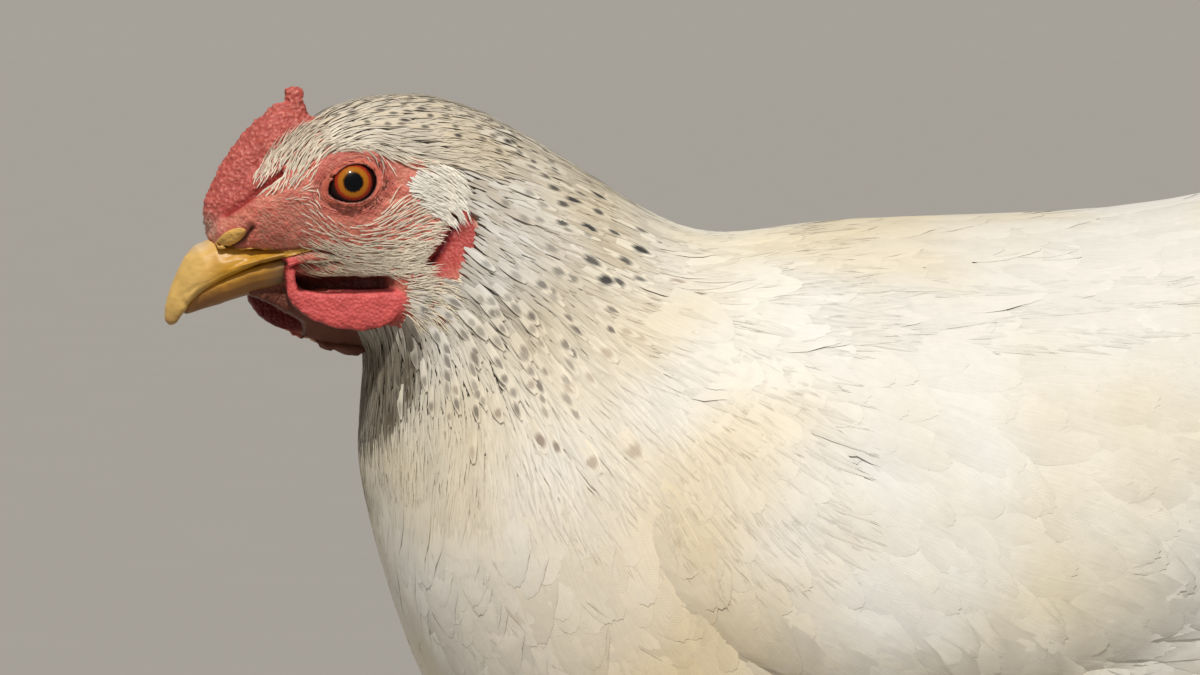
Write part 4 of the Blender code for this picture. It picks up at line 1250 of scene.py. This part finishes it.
def plain_tints(roots, rng):
    """White plumage that turns cream in soft patches on the breast and wing, and greyer on the neck, that
    grey partly painted shade of the head.
    """
    forth, rise, _ = on_head(roots)
    colours = np.tile(np.array(WHITE_TIP), (len(roots), 1))
    # Grey on the neck, strongest just under the head: partly the plumage's own grey, partly painted shade of
    # the head.
    neck = smooth_step(-forth, -4, 14) * (1 - smooth_step(-forth, 38, 66)) * smooth_step(rise, -42, -26)
    neck = neck * (0.75 + 0.65 * smooth_step(rise, -28, -6))
    colours = wash(colours, WARM_GREY, neck * (0.25 + 0.35 * rng.random(len(roots))))
    along, height = roots[:, 1] / MM, roots[:, 2] / MM
    back = smooth_step(height, 232, 275) * smooth_step(along, -92, -50)
    colours = wash(colours, tone(218, 212, 200), back * 0.55)
    breast = np.exp(-((along + 98) / 34) ** 2 - ((height - 222) / 34) ** 2)
    colours = wash(colours, tone(240, 218, 176), breast * 0.55)
    colours = colours * rng.uniform(0.965, 1.015, len(roots))[:, None]
    return np.clip(colours, 0, 0.95)


plumage, tree, shader = start_material("white_plumage")
vane = put(tree, "ShaderNodeUVMap", uv_map="Vane").outputs[0]
tint = stored(tree, "Tint")
mark = put(tree, "ShaderNodeAttribute", attribute_name="Mark")
mark_parts = put(tree, "ShaderNodeSeparateColor", {0: mark.outputs["Color"]})
vane_parts = put(tree, "ShaderNodeSeparateXYZ", {0: vane})
sideways = reckon(tree, "ABSOLUTE", reckon(tree, "SUBTRACT", vane_parts.outputs["X"], 0.5))
# Barbs: fine lines that slant from the shaft towards the tip.
slant = reckon(tree, "MULTIPLY_ADD", sideways, -0.55, vane_parts.outputs["Y"])
barbs = reckon(tree, "SINE", reckon(tree, "MULTIPLY", slant, 420.0))
where = own_places(tree)
fluff = clouds(tree, where, 420.0, 4.0)
# Narrow vanes show their barbs as fine hairs along the feather.
breadth = stored(tree, "Breadth", "Fac")
place_parts = put(tree, "ShaderNodeSeparateXYZ", {0: where})
hair_place = put(tree, "ShaderNodeCombineXYZ", {
    0: reckon(tree, "MULTIPLY", reckon(tree, "MULTIPLY", vane_parts.outputs["X"], breadth), 2.6),
    1: reckon(tree, "MULTIPLY", vane_parts.outputs["Y"], 1.4),
    2: reckon(tree, "MULTIPLY", place_parts.outputs["Y"], 160.0)})
hairs = clouds(tree, hair_place.outputs[0], 1.0, 3.0)
hair_mix = put(tree, "ShaderNodeMix", {"Factor": span(tree, breadth, 1.0, 0.35, 3.0, 9.0), 2: 1.0,
                                       3: span(tree, hairs, 0.84, 1.06, 0.3, 0.7)})
# A fleck near the tip of a vane, its edges ragged where the barbs run out of it.
ragged = reckon(tree, "MULTIPLY", reckon(tree, "SUBTRACT", hairs, 0.5), 1.3)
off_along, off_aside = [
    reckon(tree, "DIVIDE", reckon(tree, "SUBTRACT", vane_parts.outputs[way], middle),
           reckon(tree, "MAXIMUM", mark_parts.outputs[half_size], 0.001))
    for way, middle, half_size in (("Y", 0.70, "Red"), ("X", 0.5, "Blue"))]
off_fleck = reckon(tree, "SQRT", reckon(tree, "ADD", reckon(tree, "MULTIPLY", off_along, off_along),
                                        reckon(tree, "MULTIPLY", off_aside, off_aside)))
fleck = reckon(tree, "MULTIPLY", span(tree, reckon(tree, "ADD", off_fleck, ragged), 0.0, 1.0, 1.35, 0.55),
               mark_parts.outputs["Green"])
fleck_colour = blend(tree, mark.outputs["Alpha"], tone(58, 55, 54), tone(150, 116, 92))
brighten = reckon(tree, "MULTIPLY", reckon(tree, "MULTIPLY", span(tree, fluff, 0.93, 1.05),
                                           span(tree, barbs, 0.985, 1.0, -1.0, 1.0)),
                  hair_mix.outputs[0])
creamy = span(tree, clouds(tree, where, 17.0, 2.0), 0.0, 0.95, 0.40, 0.64)
creamed = blend(tree, creamy, tint, blend(tree, 1.0, tint, (0.96, 0.87, 0.68, 1), blend_type="MULTIPLY"))
dusted = put(tree, "ShaderNodeVectorMath", {0: creamed, "Scale": brighten}, operation="SCALE")
shaft = reckon(tree, "LESS_THAN", sideways, 0.02)
height = reckon(tree, "ADD", reckon(tree, "MULTIPLY", barbs, 0.1), reckon(tree, "ADD", shaft, fluff))
bump = put(tree, "ShaderNodeBump", {"Height": height, "Strength": 0.25, "Distance": 0.0003})
wire(shader, {"Base Color": blend(tree, fleck, dusted.outputs[0], fleck_colour), "Normal": bump.outputs[0],
              "Roughness": 0.62, "Specular IOR Level": 0.3, "Sheen Weight": 0.12, "Sheen Roughness": 0.4})

# Which faces of the coat's outside lie over a wing.
on_wing = np.minimum(near(face_middles, "wing_left", 4.0), near(face_middles, "wing_right", 4.0)) < 1.6
wing_kd = KDTree(len(face_middles))
for index, place in enumerate(face_middles):
    wing_kd.insert(place, index)
wing_kd.balance()


def in_wing(places):
    return np.array([on_wing[wing_kd.find(place)[1]] for place in places])


# ---- Coat: bed of down ---------------------------------------------------------------------------
# The felt of down just under the tips of the feathers, that shows wherever two of them part.

BED_DEPTH, BED_DEPTH_IN_WING = 0.95, 3.0   # mm under the outside of the coat
bed_material, tree, shader = start_material("bed_of_down")
wire(shader, {"Base Color": stored(tree, "Tint"), "Roughness": 0.9})
forth, rise, _ = on_head(face_middles)
bare = (forth > -26) & (rise > -31) & ~((rise > 9) & (forth < -2))
bare |= (face_middles[:, 2] < 0.104) | (coat_depth(face_middles) < THIN_COAT)
bed_faces = np.flatnonzero(~bare)
bed_corners = face_corners[bed_faces]
used, bed_index = np.unique(bed_corners, return_inverse=True)
bed_points = points_of(envelope)[used]
sunk = np.where(in_wing(bed_points) & (bed_points[:, 1] > 0.0), BED_DEPTH_IN_WING, BED_DEPTH)
bed_points = bed_points - normals_of(envelope)[used] * (sunk * MM)[:, None]
bed_mesh = bpy.data.meshes.new("coat_bed")
bed_mesh.from_pydata([tuple(place) for place in bed_points], [],
                     [tuple(row) for row in bed_index.reshape(bed_corners.shape)])
bed_mesh.polygons.foreach_set("use_smooth", np.ones(len(bed_faces), bool))
corner_places = np.array([(-1, -1), (1, -1), (1, 1), (-1, 1)]) * PATCH / 2
bed_uv = bed_mesh.uv_layers.new(name="OFBake")
bed_uv.data.foreach_set("uv", (patch_places(face_middles[bed_faces])[:, None, :] + corner_places).ravel())
colours = plain_tints(bed_points, np.random.default_rng(13))
colours = wash(colours, tone(150, 138, 118), smooth_step(on_head(bed_points)[0], -60, -30) * 0.8)
store(bed_mesh, "Tint", np.column_stack([colours[:, :3] * 0.86, np.ones(len(colours))]))
coat_bed = bpy.data.objects.new("coat_bed", bed_mesh)
scene.collection.objects.link(coat_bed)
bed_mesh.materials.append(bed_material)
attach(coat_bed, "root")

# ---- Coat: trunk ---------------------------------------------------------------------------------
# Broad soft contour feathers, shingled back over the breast, back and flanks and looser on the
# belly, their downy roots hidden under the ones in front.


def trunk_spacing(places):
    forth, rise, _ = on_head(places)
    height = places[:, 2] / MM
    gap = np.full(len(places), 5.2)
    gap = gap - 1.0 * smooth_step(-places[:, 1] / MM, 60, 100)
    off = (forth > -52) & (rise > -56)
    off |= height < 100
    off |= places[:, 1] > 0.150
    return np.where(off, 0, gap)


trunk_roots = scatter(trunk_spacing, 40000, 11)
wings_here = in_wing(trunk_roots)
body_roots = trunk_roots[~wings_here]
halves = {"breast": body_roots[:, 1] < -0.050, "flanks": body_roots[:, 1] >= -0.050}
for number, (part, chosen) in enumerate(halves.items()):
    lay_coat(f"coat_{part}", body_roots[chosen], along_body(24, 10, -60, 60),
             along_body(13.0, 3, -60, 30), 21 + number, steps=6, columns=6, fingers=0.03, layers=0.16)


def down_spacing(places):
    forth, rise, _ = on_head(places)
    gap = 2.3 + 2.7 * smooth_step(-forth, 40, 85)
    return np.where((coat_depth(places) > 2.5) & ((forth < -26) | (rise < -44)), gap, 0)


# Down fills the coat below the tips of these feathers.
down_roots = scatter(down_spacing, 40000, 27)
down_forth = on_head(down_roots)[0]
down_under = np.where(in_wing(down_roots) & (down_roots[:, 1] > 0.030), 2.7,
                      0.3 + 0.3 * smooth_step(-down_forth, 50, 90))
lay_coat("coat_down", down_roots, behind_head(8, 9, 30, 80), behind_head(5, 8, 30, 80), 28, steps=4,
         columns=3, fingers=0.1, layers=0.2, under=down_under)

# ---- Coat: wings ---------------------------------------------------------------------------------
# Folded wings: small coverts over the shoulder, longer ones behind them, and the stiff flight
# feathers laid under one another from the bend of the wing to its tip.


def side_place(y, z, sign, inset):
    """A place on the outside of the coat, seen straight from the side, inset by so many mm."""
    spot, _, face, _ = coat_tree.ray_cast(Vector((sign * 0.3, y * MM, z * MM)), Vector((-sign, 0, 0)))
    if spot is None:
        return None
    return np.array(spot) - soft_normals[face] * inset * MM, soft_normals[face]


def long_vanes(name, plans, seed, columns=6, steps=10, tips=0.02):
    """Long stiff vanes laid along the side: each plan gives side, root y and z, degrees below level,
    length, width and depth of its layer, in mm."""
    rng = np.random.default_rng(seed)
    spots, ways, outs = [], [], []
    kept = []
    for plan in plans:
        sign, y, z, down, length, _, layer = plan
        line = []
        for step in range(steps + 1):
            share = step / steps
            found = side_place(y + math.cos(math.radians(down)) * length * share,
                               z - math.sin(math.radians(down)) * length * share
                               - 3.0 * share * (1 - share), sign, layer * (1 - 0.4 * share))
            if found is None:
                break
            line.append(found)
        while line and len(line) < steps + 1:
            place, normal = line[-1]
            before = line[-2][0] if len(line) > 1 else place - np.array([0, 0.001, 0])
            line.append((place + (place - before), normal))
        if line:
            kept.append(plan)
            spots.append([place for place, _ in line])
            outs.append([normal for _, normal in line])
    spots = np.array(spots).transpose(1, 0, 2)
    outs = np.array(outs).transpose(1, 0, 2)
    runs = np.gradient(spots, axis=0)
    ways = np.array([unit(run) for run in runs])
    outs = np.array([unit(normal - (normal * way).sum(axis=1)[:, None] * way)
                     for normal, way in zip(outs, ways)])
    widths = np.array([plan[5] for plan in kept], float)
    lengths = np.array([plan[4] for plan in kept], float)
    shape = np.interp(np.linspace(0, 1, steps + 1), (0, 0.1, 0.3, 0.8, 0.93, 1.0),
                      (0.2, 0.8, 1.0, 1.0, 0.85, 0.5))
    colours = plain_tints(spots[0], rng)
    return vane_mesh(name, list(spots), list(ways), list(outs), widths,
                     [np.zeros(len(kept))] * (steps + 1), shape, widths * 0.4, lengths * tips,
                     colours, None, columns, seed)


wing_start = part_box("wing_left")[0][1] / MM
for side, sign in (("left", 1), ("right", -1)):
    plans = []
    for number in range(10):     # primaries, the lowest and longest
        share = number / 9
        plans.append((sign, -6 + 10 * share, 204 + 22 * share, -24 + 8 * share, 104 - 10 * share, 14,
                      2.6 - 0.12 * number))
    for number in range(13):     # secondaries, each laid over the one below
        share = number / 12
        plans.append((sign, -40 + 48 * share, 202 + 52 * share, -21 + 17 * share, 92 - 8 * share, 17,
                      1.9 - 0.11 * number))
    flight = long_vanes(f"flight_feathers_{side}", plans, 31 + sign)
    covert_roots = trunk_roots[wings_here & (trunk_roots[:, 0] * sign > 0) & (trunk_roots[:, 1] < 0.030)]
    lay_coat(f"coverts_{side}", covert_roots, along_body(20, 16, wing_start, 10),
             along_body(11, 4, wing_start, 10), 41 + sign, steps=6, columns=6, fingers=0.03, layers=0.16,
             depth=2.0)
    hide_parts("wing_" + side)

# ---- Coat: tail ----------------------------------------------------------------------------------
# Stiff tail feathers in two ranks that lean together like a roof, with softer coverts over their
# roots above and below.

tail_plans = []
for sign in (1, -1):
    for number in range(17):
        share = number / 16
        y, z = 88 + 10 * share, 212 + 98 * share
        down = -(41 - 14 * share)
        length = 20.0
        while length < 140:
            there = (y + math.cos(math.radians(down)) * length, z - math.sin(math.radians(down)) * length)
            if side_place(*there, sign, 0) is None:
                break
            length += 1.0
        tail_plans.append((sign, y, z, down, length - 2.5 - 3.0 * (number % 2), 21,
                           0.25 + 0.2 * (number % 3)))
tail = long_vanes("tail_feathers", tail_plans, 51, columns=8, steps=12, tips=0.015)
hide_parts("tail")

# ---- Coat: neck ----------------------------------------------------------------------------------
# The hackle: narrow pointed feathers that run from the back of the head down over the shoulders as a cape,
# white with a dark fleck near many tips, greyer and looser under the cheek and throat, with painted shade of
# the head in that grey and down the front of the neck.


def off_lobe(forth, rise):
    """True away from the fold of the lobe."""
    return from_path(forth, rise, LOBE_LINE) > 2.3


def ear_share(forth, rise):
    """1 in the middle of the ear tuft, 0 at its rim."""
    return 1 - np.hypot((forth + 15.8) / 6.4, (rise - 0.3) / 5.6)


def neck_spacing(places):
    forth, rise, _ = on_head(places)
    gap = 0.88 + 0.74 * smooth_step(-forth, 18, 60)
    on = ((forth < -19) | (rise < -25)) & (forth > -76) & (rise > -62)
    on |= (forth < -19) & (forth > -86) & (rise > -30)
    on |= (forth < -9) & (rise < -19) & (rise > -30)
    on &= (places[:, 2] > 0.225) & (from_path(forth, rise, LOBE_LINE) > 0.9)
    on &= off_lobe(forth - 3.4, rise - 1.6)
    on &= ear_share(forth, rise) < 0.05
    lobe_at = np.interp(-rise, (4.5, 9.5, 13.8, 17.8), (-22.0, -20.6, -18.4, -14.0))
    on &= ~((rise > -17) & (rise < -3.5) & (forth > lobe_at - 1.6))
    return np.where(on, gap, 0)


def neck_length(places):
    forth, rise, _ = on_head(places)
    return 6.5 + 13.5 * smooth_step(-forth, 16, 62) + 4 * smooth_step(-rise, 30, 60)


def paint_head_shade_on_front(colours, places, rng):
    """Painted shade of the head: darker down the very front of the neck, under the chin."""
    forth, rise, _ = on_head(places)
    edge = np.interp(-rise, (24, 39, 44, 48, 52), (-12.5, -11.5, -9.0, -6.0, -2.0))
    front = smooth_step(-rise, 24, 32) * smooth_step(forth, edge - 1.6, edge + 1.6)
    front = front * (1 - smooth_step(-rise, 48, 57))
    return wash(colours, tone(84, 72, 55), front * (0.7 + 0.25 * rng.random(len(places))))


def neck_tints(roots, rng):
    forth, rise, _ = on_head(roots)
    colours = plain_tints(roots, rng)
    # A grey band just under the cheek and lobe: partly the plumage's own grey, partly painted shade of the
    # head.
    throat = smooth_step(-rise, 12, 20) * (1 - smooth_step(-rise, 22, 32)) * (1 - smooth_step(-forth, 24, 42))
    colours = wash(colours, tone(118, 108, 92), throat * (0.1 + 0.5 * rng.random(len(roots))))
    return paint_head_shade_on_front(colours, roots, rng)


neck_roots = scatter(neck_spacing, 70000, 61)
_, rises, acrosses = on_head(neck_roots)
for number, (part, chosen) in enumerate({
        "hackle_left": (acrosses > 0) & (rises > -26), "hackle_right": (acrosses <= 0) & (rises > -26),
        "throat_left": (acrosses > 0) & (rises <= -26), "throat_right": (acrosses <= 0) & (rises <= -26),
        }.items()):
    lay_coat(part, neck_roots[chosen], neck_length, behind_head(0.8, 2.2, 16, 66), 62 + number, steps=6,
             columns=2, profile="point", fingers=0.16, stray=6, layers=0.3, tint=neck_tints)

def fleck_tints(places, rng):
    on_crown = smooth_step(on_head(places)[0], -34, -22) * smooth_step(on_head(places)[1], -4, 3)
    colours = wash(plain_tints(places, rng), tone(246, 240, 228), 0.12 * (1 - on_crown))
    return paint_head_shade_on_front(wash(colours, tone(214, 201, 178), on_crown), places, rng)


# Flecked feathers lie on top, one for each fleck, with the fleck near the tip.
fleck_rows = np.array(FLECKS + more_flecks())
ROOT_SHARE, STRIDES = 0.76, 5   # how far before its fleck a vane is rooted, and steps to walk there
for side, sign in (("left", 1), ("right", -1)):
    centres, rows = [], []
    for row in fleck_rows:
        found = side_place(row[0], row[1], sign, 0)
        if found is not None:
            centres.append(found[0])
            rows.append(row)
    centres, rows = np.array(centres), np.array(rows)
    long, wide, dark, brown = rows[:, 2], rows[:, 3] + 0.15, rows[:, 4], rows[:, 5]
    small = rows[:, 0] < -108
    lengths = np.where(small, 6.0, 9.0) + 2.4 * long
    widths = np.maximum(2.6 * wide, np.where(small, 1.1, 1.6))
    here, outs_here = settle(centres, COAT_GUIDE)
    for _ in range(STRIDES):
        stride = (ROOT_SHARE * lengths / STRIDES * MM)[:, None]
        here, outs_here = settle(here - lie_of_coat(here, outs_here) * stride, COAT_GUIDE)
    marks = np.stack([0.92 * long / lengths, dark, wide / widths, brown], 1)
    lay_coat(f"flecked_{side}", here, lengths, widths, 68 + sign, steps=8, columns=4,
             profile="spoon", fingers=0.06, stray=3, layers=0.02, tuck=0.7, flecks=marks,
             lift=np.where(small, 0.85, 0.04), uneven=0.0, tint=lambda places, rng: fleck_tints(centres, rng))

# ---- Coat: head ----------------------------------------------------------------------------------
# Short close feathers over the crown, flecked with black, a fluffy white tuft over each ear, and
# sparse white bristles that sweep back under the eye across the red skin.


def crown_line(forth):
    """Height on the side of the head above which the crown's feathers begin."""
    return np.interp(forth, (-30, -22, -14, -8, 0, 4, 8, 12, 18),
                     (3.0, 4.6, 6.2, 8.0, 8.6, 7.2, 4.2, 2.2, 3.6))


def crown_spacing(places):
    forth, rise, _ = on_head(places)
    on = (forth > -25) & (forth < 6) & (rise > crown_line(forth) - 0.5) & (ear_share(forth, rise) < 0.05)
    on &= near(places, "comb", 2.0) > 1.0
    return np.where(on, 0.78, 0)


def crown_tints(roots, rng):
    forth, _, _ = on_head(roots)
    colours = np.tile(np.array(HEAD_WHITE), (len(roots), 1))
    colours = wash(colours, tone(196, 168, 134), smooth_step(forth, 4, 14) * 0.6 * rng.random(len(roots)))
    colours = wash(colours, WARM_GREY, 0.15 + 0.4 * rng.random(len(roots)))
    lightness = rng.uniform(0.88, 1.04, len(roots)) * (0.93 + 0.17 * smooth_step(forth, -6, 5))
    return np.clip(colours * lightness[:, None], 0, 0.97)


crown_roots = scatter(crown_spacing, 26000, 71)
lay_coat("crown", crown_roots, behind_head(4.8, 3.0, -12, 20), behind_head(0.50, 0.45, -9, 15), 72,
         steps=5, columns=2, profile="point", fingers=0.25, stray=7, layers=0.35, lift=0.35,
         tint=crown_tints, depth=1.2)


def brow_spacing(places):
    forth, rise, _ = on_head(places)
    on = (forth > -5) & (forth < 19) & (rise > crown_line(forth) - 0.5)
    on &= near(places, "comb", 2.0) > 0.6
    return np.where(on, 0.58, 0)


brow_roots = scatter(brow_spacing, 26000, 75)
lay_coat("brow", brow_roots, behind_head(5.2, 1.6, -10, 4), 0.42, 76, steps=4, columns=1,
         profile="hair", fingers=0.2, stray=8, layers=0.4, lift=0.9, depth=0.15, tint=crown_tints,
         guide=SKIN_GUIDE)


def cheek_spacing(places):
    forth, rise, across = on_head(places)
    round_eye = np.hypot(forth - LIDS_AHEAD, rise - LIDS_UP)
    full = np.maximum(0.7 * smooth_step(-forth, -6, 6), smooth_step(-rise, 6, 13))
    full = np.maximum(full * (1 - smooth_step(forth, 8, 15)), 0.8 * smooth_step(forth, 8, 12)
                      * smooth_step(rise, -5, 1))
    gap = 1.35 - 0.88 * np.clip(full, 0, 1)
    on = (forth > -26) & (forth < 21) & (rise > -29) & (rise < crown_line(forth) + 1) & (round_eye > 8.2)
    on &= (np.abs(across) > 6.5) & off_lobe(forth, rise) & (from_path(forth, rise, LOBE_SLIT) > 1.1)
    on &= (np.hypot((forth + 8.6) / 2.6, (rise - 0.5) / 5.0) > 1) & (ear_share(forth, rise) < 0)
    on &= ~((forth > 13) & (rise < -3))
    on &= ~((rise < -18.4) & (rise > -34) & (forth > -8.5))
    return np.where(on, gap, 0)


def cheek_length(places):
    forth, rise, _ = on_head(places)
    length = 3.4 + 2.4 * smooth_step(-forth, -8, 6) + 1.2 * smooth_step(-rise, 8, 18)
    ahead_of_slit = (rise > -16.5) & (rise < -3)
    return np.where(ahead_of_slit, np.minimum(length, from_path(forth, rise, LOBE_SLIT) + 0.4), length)


cheek_roots = scatter(cheek_spacing, 42000, 81)
lay_coat("cheek_bristles", cheek_roots, cheek_length, 0.27, 82, steps=4, columns=1, profile="hair",
         fingers=0.15, stray=7, layers=0.25, lift=0.75, depth=0.15, guide=SKIN_GUIDE,
         tint=one_tone(tone(244, 233, 211), 0.76, 1.08))


def stubble_spacing(places):
    forth, rise, across = on_head(places)
    on = (forth > 3) & (forth < 20.5) & (rise > -12.4) & (rise < 0.5 - 0.35 * (forth - 8))
    on &= (np.abs(across) > 5) & (np.hypot(forth - LIDS_AHEAD, rise - LIDS_UP) > 8.6)
    return np.where(on, 0.6, 0)


stubble_roots = scatter(stubble_spacing, 30000, 85)
lay_coat("stubble", stubble_roots, 1.5, 0.19, 86, steps=2, columns=1, profile="hair", fingers=0.2,
         stray=14, layers=0.1, lift=0.5, depth=0.1, guide=SKIN_GUIDE,
         tint=one_tone(tone(226, 170, 150), 0.75, 1.1))


def ear_spacing(places):
    forth, rise, across = on_head(places)
    return np.where((ear_share(forth, rise) > 0) & (np.abs(across) > 8), 0.36, 0)


ear_roots = scatter(ear_spacing, 26000, 91)
lay_coat("ear_tufts", ear_roots, 5.0, 0.3, 92, steps=4, columns=1, profile="hair", fingers=0.2,
         stray=6, layers=0.4, lift=1.1, lean=24, depth=0.2, guide=SKIN_GUIDE,
         tint=one_tone(tone(255, 250, 238), 0.93, 1.0))

# Small dark bristles stand round the lids, in three rings.
LID_BRISTLES, LID_RINGS = 150, (1.36, 1.5, 1.66)   # how many, and where, in openings of the lids
rng = np.random.default_rng(97)
turns = rng.uniform(0, 2 * math.pi, LID_BRISTLES)
reaches = rng.choice(LID_RINGS, LID_BRISTLES) * rng.uniform(0.97, 1.03, LID_BRISTLES)
along, over = reaches * EYE_OPENING[0] * np.cos(turns), reaches * EYE_OPENING[1] * np.sin(turns)
forth = LIDS_AHEAD + along * math.cos(LID_TILT) - over * math.sin(LID_TILT)
rise = LIDS_UP + along * math.sin(LID_TILT) + over * math.cos(LID_TILT)
sides = np.where(np.arange(LID_BRISTLES) % 2, 1, -1)
lid_roots = head_middle + MM * (forth[:, None] * ahead + rise[:, None] * upwards
                                + (sides * 19.0)[:, None] * out)
lay_coat("lid_bristles", settle(lid_roots, SKIN_GUIDE)[0], 1.3, 0.2, 98, steps=2, columns=1,
         profile="hair", fingers=0.2, stray=20, layers=0.1, lift=0.35, depth=0.1, guide=SKIN_GUIDE,
         tint=one_tone(tone(74, 46, 38)))

# ---- Coat: thighs --------------------------------------------------------------------------------
# Soft loose feathers down each drumstick that end in a ragged cuff just above the hock.


def thigh_spacing(places):
    height = places[:, 2] / MM
    return np.where((height > 101) & (height < 160) & (np.abs(places[:, 1] + 0.015) < 0.045), 2.9, 0)


thigh_roots = scatter(thigh_spacing, 12000, 95)
lay_coat("thigh_coat", thigh_roots, 15.0, 6.5, 96, steps=5, columns=3, fingers=0.2, stray=9)

# ---- Tidying up ----------------------------------------------------------------------------------
# The forms that only guided the work are taken away.

for guide in (envelope, flat_skin):
    bpy.data.objects.remove(guide)
